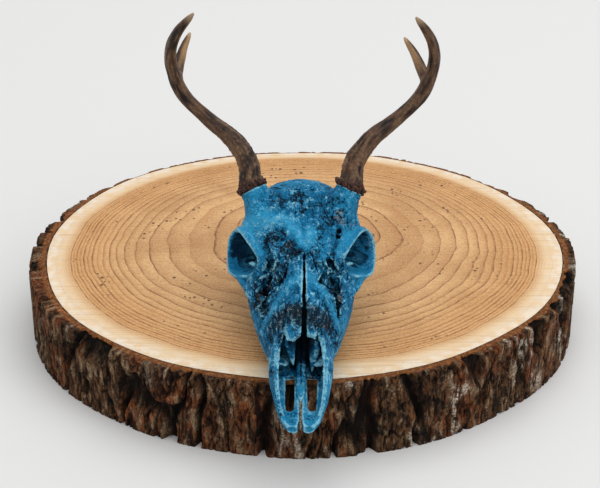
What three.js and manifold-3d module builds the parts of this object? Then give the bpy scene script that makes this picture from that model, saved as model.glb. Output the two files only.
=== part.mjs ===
// A painted skull of a young forkhorn deer, resting on a slice of tree trunk with its bark on.
// Millimetres, +Z up. The origin is the middle of the slice's underside, and the skull faces -Y.
// Left and right are the animal's own, so its left is on +X.
import * as THREE from "three";
import { mergeVertices } from "three/addons/utils/BufferGeometryUtils.js";
import Module from "manifold-3d";

const wasm = await Module();
wasm.setup();

// Driving dimensions of the slice of trunk.
const sliceThick = 65;
const woodHalfWide = 210;
const woodHalfDeep = 175;
const barkThick = 11;
const barkArcs = 8;

// Where the skull lies on the slice.
const gap = 0.3;
const skullPitch = THREE.MathUtils.degToRad(5);
const skullShift = -1.5;
const snoutTipY = -244.3;
const firstToothY = 76;

// Driving dimensions of the skull, in its own frame: y runs back from the snout tip,
// and z up from the plane that the cheek teeth stand on.
const skullLong = 238;
const noseTipY = 53;
const nasionY = 125;
const gumZ = 11;
const boneWall = 3.2;
const orbitTurn = THREE.MathUtils.degToRad(30);
const burrMiddle = new THREE.Vector3(37.4, 185, 92.5);
const burrRadius = 12.4;
const beamRadius = 8.2;

const paint = new THREE.Color("#1f78b4");
const darkPaint = new THREE.Color("#0f3f78");
const hornBrown = new THREE.Color("#5a4536");
const woodTan = new THREE.Color("#cda06e");
const barkBrown = new THREE.Color("#4a3122");

// Smooth curve through points (at, value), level where the values turn.
function smooth(...points) {
  const steps = points.slice(1).map((p, i) => (p[1] - points[i][1]) / (p[0] - points[i][0]));
  const slopes = points.map((p, i) => {
    if (i === 0) return steps[0];
    if (i === steps.length) return steps[i - 1];
    const [before, after] = [steps[i - 1], steps[i]];
    return before * after <= 0 ? 0 : (2 * before * after) / (before + after);
  });
  return (at) => {
    if (at <= points[0][0]) return points[0][1];
    if (at >= points.at(-1)[0]) return points.at(-1)[1];
    const i = points.findIndex((p) => p[0] > at) - 1;
    const wide = points[i + 1][0] - points[i][0];
    const t = (at - points[i][0]) / wide;
    const rest = 1 - t;
    return (
      (1 + 2 * t) * rest * rest * points[i][1] +
      t * rest * rest * wide * slopes[i] +
      t * t * (3 - 2 * t) * points[i + 1][1] -
      t * t * rest * wide * slopes[i + 1]
    );
  };
}

// A geometry's closed surface as a solid, turned right side out.
function solid(geometry) {
  geometry.deleteAttribute("normal");
  geometry.deleteAttribute("uv");
  const merged = mergeVertices(geometry, 1e-4);
  const make = (triVerts) =>
    new wasm.Manifold(
      new wasm.Mesh({ numProp: 3, vertProperties: merged.attributes.position.array, triVerts }),
    );
  const made = make(new Uint32Array(merged.index.array));
  return made.volume() > 0 ? made : make(new Uint32Array(merged.index.array).reverse());
}

// Merges a geometry's shared points, then moves each one by a function.
function moved(geometry, place) {
  geometry.deleteAttribute("normal");
  geometry.deleteAttribute("uv");
  const merged = mergeVertices(geometry, 1e-5);
  const position = merged.attributes.position;
  const point = new THREE.Vector3();
  for (let i = 0; i < position.count; i++) {
    point.copy(place(point.fromBufferAttribute(position, i)));
    position.setXYZ(i, point.x, point.y, point.z);
  }
  return solid(merged);
}

// A closed body along a path: place gets the share of the way along, the angle and the share of
// the way out from the middle line.
function loft(around, along, place) {
  return moved(new THREE.CylinderGeometry(1, 1, 1, around, along), (p) =>
    place(p.y + 0.5, Math.atan2(p.z, p.x), Math.min(1, Math.hypot(p.x, p.z))),
  );
}

// A tapering tube along a curve. The radius may change along it and round it.
function tube(curve, around, along, radius) {
  const side = new THREE.Vector3();
  const top = new THREE.Vector3();
  return loft(around, along, (t, angle, out) => {
    const way = curve.getTangentAt(t);
    side.set(0, 1, 0).cross(way).normalize();
    top.crossVectors(way, side);
    const r = radius(t, angle) * out;
    return curve
      .getPointAt(t)
      .addScaledVector(side, r * Math.cos(angle))
      .addScaledVector(top, r * Math.sin(angle));
  });
}

// A rounded body: half sizes along its own x, y and z, turned, then set at a middle.
function egg(middle, half, turn = new THREE.Euler(), around = 10, along = 7) {
  return moved(new THREE.SphereGeometry(1, around, along), (p) =>
    p.multiply(half).applyEuler(turn).add(middle),
  );
}

// A prism from an outline in the side view (y, z), between two x values.
function sidePrism(outline, fromX, toX) {
  const shape = new THREE.Shape(outline.map(([y, z]) => new THREE.Vector2(y, z)));
  const geometry = new THREE.ExtrudeGeometry(shape, { depth: toX - fromX, bevelEnabled: false });
  return moved(geometry, (p) => new THREE.Vector3(fromX + p.z, p.x, p.y));
}

// A prism from an outline in the top view (x, y), between two heights.
function topPrism(outline, fromZ, toZ) {
  const shape = new THREE.Shape(outline.map(([x, y]) => new THREE.Vector2(x, y)));
  const geometry = new THREE.ExtrudeGeometry(shape, { depth: toZ - fromZ, bevelEnabled: false });
  return moved(geometry, (p) => new THREE.Vector3(p.x, p.y, fromZ + p.z));
}

const vec = (x, y, z) => new THREE.Vector3(x, y, z);
const mirrored = (body) => body.mirror([1, 0, 0]);
const both = (body) => body.add(mirrored(body));
const joined = (bodies) => bodies.reduce((sum, body) => sum.add(body));

// The largest closed body of a solid, so that no scrap or sealed hollow stays.
function largest(body) {
  return body.decompose().reduce((a, b) => (a.volume() > b.volume() ? a : b));
}

// Section lines of the skull against y.
const topLine = smooth([0, 22], [53, 50], [80, 59.5], [100, 66.5], [125, 75], [150, 83.5],
  [170, 88.5], [186, 91], [199, 88.5], [212, 80], [226, 70], [238, 61]);
const muzzleHalf = smooth([0, 9], [4, 11.8], [10, 14], [20, 17.2], [38, 21], [50, 23.2],
  [62, 24.2], [76, 26.6], [96, 33.4], [111, 38.2], [125, 41.2], [146, 45]);
const muzzleMidZ = smooth([0, 13], [20, 14.5], [40, 21], [62, 29], [90, 28], [120, 34], [146, 40]);
const noseHalf = smooth([0, 7], [53, 9.3], [70, 10.6], [90, 12], [110, 14], [125, 17], [146, 26]);
const footHalf = smooth([0, 8], [10, 12.5], [40, 18.5], [62, 20.5], [78, 22.5], [100, 27.5],
  [125, 30.5], [146, 31]);
const footZ = smooth([0, 9.5], [30, 9], [62, 12], [76, gumZ], [146, gumZ]);
const palateZ = smooth([0, 9.2], [30, 9], [60, 12.5], [80, 15.5], [146, 17]);

// Outline of the muzzle across at y: top middle, nose edge, cheek, widest, gum, palate middle.
function muzzleSection(y, inset) {
  const top = topLine(y) - inset;
  const nose = Math.max(1.5, noseHalf(y) - 0.4 * inset);
  const noseZ = topLine(y) - 2.6 - 0.02 * y - inset;
  const wide = muzzleHalf(y) - inset;
  const midZ = muzzleMidZ(y);
  const foot = footHalf(y) - 1.15 * inset;
  const lowZ = footZ(y) + inset;
  const cheek = nose + 0.5 * (wide - nose) + 1.2;
  const cheekZ = noseZ + 0.42 * (midZ - noseZ);
  const right = [[nose, noseZ], [cheek, cheekZ], [wide, midZ], [foot, lowZ]];
  const floor = palateZ(y) + 1.25 * inset;
  return new THREE.CatmullRomCurve3([
    vec(0, y, top),
    ...right.map(([x, z]) => vec(x, y, z)),
    vec(0, y, floor),
    ...right.reverse().map(([x, z]) => vec(-x, y, z)),
  ], true, "centripetal");
}

// A body between two y values whose sections are closed curves.
function sectionBody(section, fromY, toY, around, along) {
  const cache = new Map();
  return loft(around, along, (t, angle, out) => {
    const y = fromY + (toY - fromY) * t;
    if (!cache.has(y)) cache.set(y, section(y));
    const curve = cache.get(y);
    const share = (0.25 - angle / (2 * Math.PI) + 2) % 1;
    const rim = curve.getPoint(share);
    const middle = curve.getPoint(0).add(curve.getPoint(0.5)).multiplyScalar(0.5);
    return middle.lerp(rim, out);
  });
}

// The braincase, from between the orbits to the back of the skull.
const caseHalf = smooth([116, 14], [140, 16], [160, 22], [178, 29], [195, 33], [212, 33],
  [226, 30], [238, 25]);
const caseLowZ = smooth([116, 34], [140, 26], [165, 20], [200, 16], [226, 17], [238, 20]);
function caseSection(y) {
  const high = topLine(y) - 1.5;
  const low = caseLowZ(y);
  const half = caseHalf(y);
  const midZ = low + 0.52 * (high - low);
  return new THREE.CatmullRomCurve3([
    vec(0, y, high),
    vec(0.68 * half, y, high - 0.08 * (high - low)),
    vec(half, y, midZ + 6),
    vec(0.92 * half, y, midZ - 12),
    vec(0.5 * half, y, low),
    vec(-0.5 * half, y, low),
    vec(-0.92 * half, y, midZ - 12),
    vec(-half, y, midZ + 6),
    vec(-0.68 * half, y, high - 0.08 * (high - low)),
  ], true, "centripetal");
}

// The frontal roof, which overhangs the orbits and carries the stalks of the antlers.
const roofHalf = smooth([108, 14], [125, 21], [133, 27], [140, 32], [152, 39], [162, 46.6],
  [168, 46.4], [175, 43.6], [184, 43], [194, 38], [203, 28]);
const roofDrop = smooth([108, 6], [125, 11], [139, 15], [152, 14.5], [163, 18], [175, 12],
  [185, 9], [203, 18]);
function roofSection(y) {
  const top = topLine(y);
  const half = roofHalf(y);
  const edgeZ = top - roofDrop(y);
  const dip = 1.2 * Math.exp(-(((y - 146) / 12) ** 2));
  return new THREE.CatmullRomCurve3([
    vec(0, y, top - dip),
    vec(0.45 * half, y, top - 0.16 * roofDrop(y)),
    vec(0.82 * half, y, top - 0.66 * roofDrop(y)),
    vec(half, y, edgeZ - 1.5),
    vec(half - 3.5, y, edgeZ - 5.5),
    vec(0.4 * half, y, top - 26),
    vec(-0.4 * half, y, top - 26),
    vec(-half + 3.5, y, edgeZ - 5.5),
    vec(-half, y, edgeZ - 1.5),
    vec(-0.82 * half, y, top - 0.66 * roofDrop(y)),
    vec(-0.45 * half, y, top - 0.16 * roofDrop(y)),
  ], true, "centripetal");
}

// The rim of the left orbit: brow corner, brow, tear corner, floor, cheek and back.
const orbitRim = new THREE.CatmullRomCurve3([
  vec(46.6, 162, 68.5), vec(37.5, 147, 68), vec(30, 134, 61.5), vec(32.5, 131, 49),
  vec(44, 139, 37), vec(52, 152, 38), vec(53.6, 163, 46), vec(52, 167.5, 58),
], true);
const orbitMiddle = vec(43.5, 149.5, 53);
const orbitOut = vec(Math.cos(orbitTurn), -Math.sin(orbitTurn), 0);

// The raised ring of bone round the orbit, thin at the brow and thicker at the cheek.
function orbitRing() {
  return moved(new THREE.TorusGeometry(1, 0.25, 6, 22), (p) => {
    const share = (Math.atan2(p.y, p.x) / (2 * Math.PI) + 1) % 1;
    const rim = orbitRim.getPoint(share);
    const away = rim.clone().sub(orbitMiddle);
    away.addScaledVector(orbitOut, -away.dot(orbitOut)).normalize();
    const thick = 2.1 + 0.9 * Math.sin(Math.PI * share) ** 2;
    const off = (Math.hypot(p.x, p.y) - 1) / 0.25;
    return rim
      .addScaledVector(away, thick * off)
      .addScaledVector(orbitOut, (1.3 * thick * p.z) / 0.25);
  });
}

// The hollow of the orbit, which narrows from its rim towards the middle of the skull.
function orbitCup() {
  const deep = 25;
  const inner = 1.6;
  return loft(20, 5, (t, angle, out) => {
    const share = (angle / (2 * Math.PI) + 1) % 1;
    const rim = orbitRim.getPoint(share);
    const away = rim.clone().sub(orbitMiddle);
    const lift = away.dot(orbitOut);
    away.addScaledVector(orbitOut, -lift);
    const reach = away.length() - inner;
    const depth = deep * (1.5 * t - 1);
    const narrow = depth < 0 ? Math.sqrt(1 - 0.72 * (depth / deep) ** 2) : 1 + 0.02 * depth;
    const follow = Math.max(0, 1 + Math.min(0, depth) / deep);
    return orbitMiddle
      .clone()
      .addScaledVector(away.normalize(), reach * narrow * out)
      .addScaledVector(orbitOut, depth + lift * follow * out);
  });
}

// The hollow for the jaw muscle, behind the orbit and inside the cheek arch.
function templeHollow() {
  return egg(vec(41, 181, 52), vec(9, 16, 20), new THREE.Euler(0, 0, 0.2), 12, 8);
}

// The cheek arch, from under the orbit back to its root beside the ear.
function cheekArch() {
  const curve = new THREE.CatmullRomCurve3([
    vec(37, 124, 37), vec(44.5, 138, 35.5), vec(51.6, 154, 39), vec(53, 170, 42.5),
    vec(49, 188, 40), vec(40, 201, 37), vec(29, 208, 36),
  ]);
  const high = smooth([0, 5], [0.25, 4.4], [0.55, 3.6], [0.85, 4], [1, 5]);
  return tube(curve, 8, 16, (t, angle) => high(t) * (1 - 0.42 * Math.cos(angle) ** 2));
}

// The stalk of bone that carries the antler, its axis leaning out and back.
const stalkWay = vec(0.42, 0.54, 0.73).normalize();
function stalk() {
  const root = burrMiddle.clone().addScaledVector(stalkWay, -26);
  const end = burrMiddle.clone().addScaledVector(stalkWay, -gap / 2 - 2.6);
  const curve = new THREE.LineCurve3(root, end);
  const radius = smooth([0, 17], [0.5, 13.2], [0.85, 10.8], [1, 10.6]);
  return tube(curve, 16, 4, (t) => radius(t));
}

// Back and underside: nuchal crest, condyles, hanging processes, ear capsules and wings.
function backOfSkull() {
  const crest = tube(
    new THREE.CatmullRomCurve3([
      vec(-31, 219, 44), vec(-23, 231, 54), vec(0, skullLong - 2, 60), vec(23, 231, 54),
      vec(31, 219, 44),
    ]),
    8, 10, () => 2.6,
  );
  const condyle = egg(vec(10, skullLong - 1, 25), vec(6.5, 7, 9.5), new THREE.Euler(0.3, 0, 0.35));
  const tipZ = -(222 - firstToothY) * Math.tan(skullPitch);
  const hanging = tube(
    new THREE.CatmullRomCurve3([vec(24, 226, 30), vec(23.5, 226, 14), vec(22, 223, 0), vec(21, 222, tipZ)]),
    8, 6, (t, angle) => (8 - 5.2 * t) * (1 - 0.45 * Math.sin(angle) ** 2),
  );
  const earCapsule = egg(vec(17, 206, 13), vec(6.5, 10, 7.5));
  const earTube = egg(vec(28, 208, 22), vec(8, 5.5, 6.5));
  const jointRoot = egg(vec(31, 199, 31), vec(9, 7, 5));
  const wing = sidePrism([[157, 30], [158, 9], [162, 4], [168, 12], [174, 30]], 10, 12.2);
  const pair = joined([condyle, hanging, earCapsule, earTube, jointRoot, wing]);
  const spineHole = egg(vec(0, skullLong + 3, 33), vec(8.5, 13, 8));
  return { bone: crest.add(both(pair)), hole: spineHole };
}

// Cheek teeth: three premolars and three molars a side, each two crescents wide and worn slanting.
const toothLengths = [9, 10, 10.5, 12.5, 14, 15];
const toothHalfWide = [3.6, 4.4, 5, 6.2, 6.6, 6.2];
function cheekTeeth() {
  const teeth = [];
  let startY = firstToothY;
  toothLengths.forEach((long, i) => {
    const middleY = startY + long / 2;
    const halfLong = long / 2 + 0.2;
    const half = toothHalfWide[i];
    const x = footHalf(middleY) - half - 0.6;
    const lobes = i < 3 ? 1 : 2;
    teeth.push(
      moved(new THREE.BoxGeometry(2, 2, 1, 2, 2 * lobes, 2), (p) => {
        const down = 0.5 - p.z;
        const waist = lobes === 2 && Math.abs(p.y) < 0.1 ? 0.8 : 1;
        const round = 1 - 0.16 * Math.abs(p.x * p.y) ** 3;
        const swell = 0.86 + 0.2 * Math.sin(Math.PI * Math.min(1, 0.25 + 0.8 * down));
        const cusp = down > 0.9 ? 1.7 * (p.x < 0 ? 0.6 : 1 - p.x) * Math.abs(p.x) : 0;
        const groove = down > 0.9 && Math.abs(p.x) < 0.1 ? 2 : 0;
        return vec(
          x + p.x * half * swell * round * waist,
          middleY + p.y * halfLong * swell * round,
          gumZ + 5 - down * (gumZ + 5) + cusp + groove,
        );
      }),
    );
    startY += long;
  });
  return joined(teeth);
}

// The hollow inside the muzzle, open at the front, and the openings in its walls and floor.
const noseHollow = () => sectionBody((y) => muzzleSection(y, boneWall), 9, 119, 16, 11);

// Everything above the edge of the premaxillae, in front of and below the tips of the nose bones.
function noseOpening() {
  const under = topLine(noseTipY) - 4.2;
  return sidePrism(
    [[-6, 15.5], [8, 16], [22, 19.5], [36, 26], [50, 34.5], [62, 42], [71, 50], [noseTipY + 4, under + 1],
      [noseTipY, under], [noseTipY - 1, 62], [-6, 62]],
    -40, 40,
  );
}

// Long slots in the palate at the front, with round ends.
function palateSlot() {
  const inner = 6.2;
  const outer = 14.2;
  const middle = (inner + outer) / 2;
  const round = (outer - inner) / 2;
  const outline = new THREE.Shape();
  outline.absarc(middle - 0.5, 19.5 + round, round - 0.3, Math.PI, 2 * Math.PI, false);
  outline.lineTo(outer + 0.4, 55);
  outline.lineTo(inner + 0.3, 55);
  return topPrism(outline.getPoints(6).map((p) => [p.x, p.y]), -10, 19);
}

// Openings in the face in front of the orbit: a wide one by the nose bone and a narrow one beside it.
function faceOpenings() {
  const lean = new THREE.Euler(0.25, 0.75, 0.16);
  const wide = egg(vec(22, 113, 58), vec(4.6, 15, 14), lean, 12, 8);
  const narrow = egg(vec(29.5, 101, 46), vec(2.2, 13, 10), new THREE.Euler(0.3, 0.9, 0.26), 10, 8);
  return wide.add(narrow);
}

// The slit between the two nose bones, wider towards their tips.
function noseSlit() {
  return topPrism([[-1.5, 40], [1.5, 40], [1.5, noseTipY], [0.5, nasionY - 2], [-0.5, nasionY - 2],
    [-1.5, noseTipY]], 38, 120);
}

// The notch and slit between the two premaxillae.
function snoutSlit() {
  return topPrism([[-3.4, -6], [3.4, -6], [0.7, 7], [0.7, 40], [-0.7, 40], [-0.7, 7]], 0, 24);
}

// The tip of each nose bone is cut back beside a short spike.
function noseTipNotch() {
  return topPrism([[0, 40], [7.4, 40], [6.6, noseTipY + 1], [3.6, noseTipY + 5], [0, noseTipY + 3]], 38, 70);
}

// The thin bar that lies along the middle of the nose, grown by a margin for its seat.
function noseBar(margin) {
  const half = smooth([34, 1.6], [46, 3], [70, 3.4], [110, 2.4]);
  const low = smooth([34, 14.6], [60, 17.5], [75, 19.5], [110, 21]);
  const high = smooth([34, 18], [60, 26], [75, 33], [110, 42]);
  const [fromY, toY] = [34 - margin, 110 + margin];
  return loft(10, 8, (t, angle, out) => {
    const y = fromY + (toY - fromY) * t;
    const reach = Math.sin(angle) > 0 ? high(y) : low(y);
    const midZ = (high(y) + low(y)) / 2;
    return vec(
      Math.cos(angle) * out * (half(y) + margin),
      y,
      midZ + Math.sin(angle) * out * (Math.abs(reach - midZ) + margin),
    );
  });
}

// The scroll of thin bone under each nose bone, grown by a margin for its seat.
function scroll(margin) {
  const curve = new THREE.CatmullRomCurve3([vec(10.5, 63, 34), vec(10, 78, 41), vec(10.5, 100, 49)]);
  const radius = smooth([0, 1.2], [0.35, 4.8], [0.8, 6], [1, 5]);
  return tube(curve, 10, 8, (t) => radius(t) + margin);
}

// The whole skull in its own frame, before it is parted at its sutures.
function wholeSkull() {
  const muzzle = sectionBody((y) => muzzleSection(y, 0), 0, 146, 24, 22)
    .subtract(noseHollow())
    .subtract(noseOpening())
    .subtract(both(palateSlot()));
  const caseBody = sectionBody(caseSection, 116, skullLong, 22, 12);
  const roof = sectionBody(roofSection, 108, 203, 22, 15);
  const back = backOfSkull();
  return muzzle
    .add(caseBody)
    .add(roof)
    .add(both(stalk()))
    .subtract(both(templeHollow()))
    .add(both(orbitRing()))
    .add(both(cheekArch()))
    .subtract(both(orbitCup()))
    .subtract(noseHollow())
    .subtract(both(faceOpenings()))
    .add(back.bone)
    .subtract(back.hole)
    .add(both(cheekTeeth()))
    .subtract(noseSlit())
    .subtract(snoutSlit())
    .subtract(both(noseTipNotch()))
    .subtract(noseBar(gap))
    .subtract(both(scroll(gap)));
}

// Regions of the left bones, each grown by a margin where its neighbours are cut back from it.
const far = 80;
const regions = {
  premaxilla: (m) => sidePrism([[-far, -20], [54 + m, -20], [56 + m, 12], [71 + m, 42], [73 + m, 47],
    [73 + m, 51 + m], [60, 46.2 + m], [noseTipY - 4, 44], [-far, 44]], m ? -far : 0, far),
  nasal: (m) => topPrism([[-m, 40], [noseHalf(53) + 2 + m, 40], [noseHalf(70) + 0.6 + m, 70],
    [noseHalf(90) + 0.6 + m, 90], [13.2 + m, 106 + m], [8, nasionY - 3 + m], [-m, nasionY + m]],
    30, far + 20),
  maxilla: (m) => sidePrism([[20, -20], [156 + m, -20], [156 + m, 24 + m], [131 + m, 31 + m],
    [119 + m, 40 + m], [108 + m, 52 + m], [102 + m, 76], [40, 76]], 0, far),
  cheekbone: (m) => sidePrism([[118, 25], [184 + m, 25], [178 + m, 54 + m], [170, 57 + m],
    [152, 55 + m], [118, 52 + m]], 33 - m, far),
};

function skullBones() {
  const bones = new Map();
  let rest = wholeSkull();
  for (const [name, region] of Object.entries(regions)) {
    const left = largest(rest.intersect(region(0)));
    const right = largest(rest.intersect(mirrored(region(0))));
    bones.set(name + "_left", left);
    bones.set(name + "_right", right);
    rest = rest.subtract(both(region(gap)));
  }
  bones.set("cranium", largest(rest));
  bones.set("nose_bar", noseBar(0));
  bones.set("scroll_left", scroll(0));
  bones.set("scroll_right", mirrored(scroll(0)));
  return bones;
}

// The left antler's beam from its burr, out and back, then up and forward to the front point.
// It bows out by a few millimetres more on one side. A shorter tine rises behind the fork.
const forkShare = 0.53;
function beamPath(bow, tip) {
  const out = (x) => x + bow * Math.min(1, (x - burrMiddle.x) / 20);
  return new THREE.CatmullRomCurve3([
    burrMiddle.clone().addScaledVector(stalkWay, 1.6),
    vec(out(39.8), 195, 107),
    vec(out(49.5), 203.5, 120.6),
    vec(out(72), 213.7, 136.8),
    vec(out(88), 217.4, 154),
    vec(out(95.5), 216.4, 178),
    vec(out(95), 211.5, 197),
    vec(out(89.5), 206, 213),
    tip,
  ]);
}

const beamTaper = smooth([0, beamRadius + 1.2], [0.05, beamRadius], [0.2, beamRadius - 1.1],
  [0.33, 5.7], [0.44, 5.1], [forkShare, 5.4], [0.62, 4.9], [0.85, 3.8], [0.96, 2.4], [1, 0.9]);
const mainBeam = (path, margin, around) =>
  tube(path, around, 23, (t) => beamTaper(t) + margin);

// The burr: a ragged collar of small knobs at the foot of the beam.
function burr() {
  const foot = burrMiddle.clone().addScaledVector(stalkWay, -2.4);
  const end = burrMiddle.clone().addScaledVector(stalkWay, 4.2);
  const swell = smooth([0, burrRadius - 3.4], [0.3, burrRadius], [0.6, burrRadius - 0.8], [1, beamRadius]);
  return tube(new THREE.LineCurve3(foot, end), 26, 4, (t, angle) =>
    swell(t) * (1 + 0.06 * Math.sin(7 * angle + 3 * t) + 0.05 * Math.sin(13 * angle + 1.5)),
  );
}

// A thin flat slab across a path, which parts a tube there.
function thinCut(path, share) {
  const turn = new THREE.Quaternion().setFromUnitVectors(vec(0, 0, 1), path.getTangentAt(share));
  const middle = path.getPointAt(share);
  return moved(new THREE.BoxGeometry(36, 36, gap), (p) => p.applyQuaternion(turn).add(middle));
}

// Each antler in three pieces, parted at its fork.
function antler(bow, tip, tineTip) {
  const path = beamPath(bow, tip);
  const whole = mainBeam(path, 0, 11).add(burr());
  const [lower, upper] = whole
    .subtract(thinCut(path, forkShare))
    .decompose()
    .sort((a, b) => b.volume() - a.volume());
  const root = path.getPointAt(forkShare + 0.05);
  const tinePath = new THREE.CatmullRomCurve3([
    root,
    root.clone().lerp(tineTip, 0.34).add(vec(1.5, 0.5, -1.5)),
    root.clone().lerp(tineTip, 0.68).add(vec(1.8, 0.5, -1)),
    tineTip,
  ]);
  const taper = smooth([0, 4.6], [0.3, 4.2], [0.7, 3], [0.93, 1.7], [1, 0.7]);
  const tine = tube(tinePath, 10, 9, (t) => taper(t)).subtract(mainBeam(path, gap, 11));
  return { beam: lower, prong: upper, tine: largest(tine) };
}

// The slice of trunk: its rim radius by angle, a slightly uneven oval.
function rim(angle) {
  const oval = 1 / Math.hypot(Math.cos(angle) / woodHalfWide, Math.sin(angle) / woodHalfDeep);
  const uneven = 0.006 * Math.sin(3 * angle + 0.6) + 0.004 * Math.sin(5 * angle + 2) +
    0.0025 * Math.sin(11 * angle);
  return oval * (1 + uneven);
}

function woodSlice() {
  return loft(96, 1, (t, angle, out) =>
    vec(rim(angle) * out * Math.cos(angle), rim(angle) * out * Math.sin(angle), sliceThick * t),
  );
}

// Bark depth by angle and height: upright plates with furrows between them.
function barkDepth(angle, z) {
  const drift = 0.5 * Math.sin(z / 17 + 3 * angle) + 0.35 * Math.sin(z / 9 + 9 * angle);
  const plates = Math.abs(Math.sin(24 * angle + drift)) ** 0.6;
  const broken = 0.5 + 0.5 * Math.sin(z / 8 + 5 * Math.sin(9 * angle));
  const back = 0.12 * Math.max(0, Math.sin(angle));
  return barkThick * (0.58 - back + 0.34 * plates + 0.08 * broken);
}

function barkArc(index) {
  const wide = (2 * Math.PI) / barkArcs;
  return moved(new THREE.BoxGeometry(1, 1, 1, 12, 1, 4), (p) => {
    const middleAngle = (index + 0.5) * wide;
    const play = (gap / 2 / woodHalfWide) * Math.sign(p.x) * (Math.abs(p.x) > 0.49 ? 1 : 0);
    const angle = middleAngle + p.x * wide - play;
    const z = (p.z + 0.5) * sliceThick;
    const reach = p.y > 0 ? barkDepth(angle, z) : gap;
    return vec((rim(angle) + reach) * Math.cos(angle), (rim(angle) + reach) * Math.sin(angle), z);
  });
}

const bones = skullBones();

// Makes a named mesh from a solid.
function meshOf(name, body, color, roughness) {
  const { vertProperties, triVerts, numProp } = body.getMesh();
  const position = new Float32Array((vertProperties.length / numProp) * 3);
  for (let i = 0; i < position.length / 3; i++) {
    position.set(vertProperties.subarray(i * numProp, i * numProp + 3), i * 3);
  }
  const geometry = new THREE.BufferGeometry();
  geometry.setAttribute("position", new THREE.BufferAttribute(position, 3));
  geometry.setIndex(new THREE.BufferAttribute(triVerts, 1));
  geometry.computeVertexNormals();
  const mesh = new THREE.Mesh(
    geometry,
    new THREE.MeshStandardMaterial({ color, roughness, metalness: 0 }),
  );
  mesh.name = name;
  return mesh;
}

const model = new THREE.Group();
const skull = new THREE.Group();
skull.position.set(
  skullShift,
  snoutTipY,
  sliceThick + gap - firstToothY * Math.sin(skullPitch),
);
skull.rotation.x = skullPitch;
for (const [name, body] of bones) {
  const inside = name.startsWith("nose_bar") || name.startsWith("scroll");
  skull.add(meshOf(name, body, inside ? darkPaint : paint, 0.55));
}
const antlers = {
  left: antler(2.6, vec(82.6, 199.7, 229.3), vec(77.6, 247.1, 185.9)),
  right: antler(0.4, vec(76.9, 198, 233.5), vec(83.1, 247.4, 190)),
};
for (const [side, pieces] of Object.entries(antlers)) {
  for (const [piece, body] of Object.entries(pieces)) {
    const placed = side === "right" ? mirrored(body) : body;
    skull.add(meshOf("antler_" + piece + "_" + side, placed, hornBrown, 0.6));
  }
}
model.add(skull);
model.add(meshOf("base_wood", woodSlice(), woodTan, 0.7));
for (let i = 0; i < barkArcs; i++) {
  model.add(meshOf("base_bark_" + (i + 1), barkArc(i), barkBrown, 0.9));
}

export default model;
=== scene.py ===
# %% [markdown]
# # A painted deer skull on a slice of trunk
# The real thing is the skull of a young deer with two forked antlers, painted bright blue and
# laid on a slice of tree trunk with its bark on. The packed solids give every bone its place and
# size. Here each one gets the surface of old bone, antler, sawn wood or bark.

# %% Load the frame
import math

import bpy
import numpy as np
import openvdb as vdb
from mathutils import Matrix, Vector


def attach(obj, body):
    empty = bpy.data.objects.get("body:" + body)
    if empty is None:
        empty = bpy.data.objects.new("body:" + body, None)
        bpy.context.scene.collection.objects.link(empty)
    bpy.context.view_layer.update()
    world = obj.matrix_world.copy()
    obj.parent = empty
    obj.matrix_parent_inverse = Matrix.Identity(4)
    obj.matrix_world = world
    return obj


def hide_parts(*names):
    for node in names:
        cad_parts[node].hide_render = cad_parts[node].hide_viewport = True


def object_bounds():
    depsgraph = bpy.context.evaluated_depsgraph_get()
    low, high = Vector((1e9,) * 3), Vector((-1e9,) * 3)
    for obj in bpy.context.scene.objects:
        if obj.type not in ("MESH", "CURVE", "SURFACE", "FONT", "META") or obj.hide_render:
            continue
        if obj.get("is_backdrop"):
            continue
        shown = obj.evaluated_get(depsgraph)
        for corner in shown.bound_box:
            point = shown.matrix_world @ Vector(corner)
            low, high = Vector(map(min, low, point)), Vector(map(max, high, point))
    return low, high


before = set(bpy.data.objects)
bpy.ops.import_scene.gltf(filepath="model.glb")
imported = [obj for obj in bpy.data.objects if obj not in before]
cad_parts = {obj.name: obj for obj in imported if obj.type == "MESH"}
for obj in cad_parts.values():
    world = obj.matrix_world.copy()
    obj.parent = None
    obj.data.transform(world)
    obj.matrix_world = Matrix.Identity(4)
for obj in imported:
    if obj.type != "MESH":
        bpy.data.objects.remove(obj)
cad_low, cad_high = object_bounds()
MM = 0.001
print("solids", len(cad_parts), "size", [round(s, 3) for s in cad_high - cad_low])

# %% [markdown]
# The camera looks down on the slice from in front, 31.5 degrees above the floor and a metre and
# a half away, through a long lens. It could be aimed by a constraint, but a plain turn about X is
# enough, because it stands straight in front of the skull.

# %% Camera
CAMERA_UP = math.radians(31.5)
camera_data = bpy.data.cameras.new("camera")
camera_data.sensor_width = 36
camera_data.lens = 110.18
camera_data.shift_x = -0.005
camera_data.shift_y = 0.0169
camera_data.clip_end = 20
camera = bpy.data.objects.new("camera", camera_data)
camera.location = (0, -1.279, 0.8487)
camera.rotation_euler = (math.pi / 2 - CAMERA_UP, 0, 0)
bpy.context.scene.collection.objects.link(camera)
bpy.context.scene.camera = camera
bpy.context.scene.view_settings.view_transform = "Standard"
print("camera at", tuple(camera.location))

# %% [markdown]
# Bones and antlers are soft forms that grow into each other, so each starts as simple surfaces:
# sections carried along a line. A curve through a few points gives each size along the way.

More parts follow.
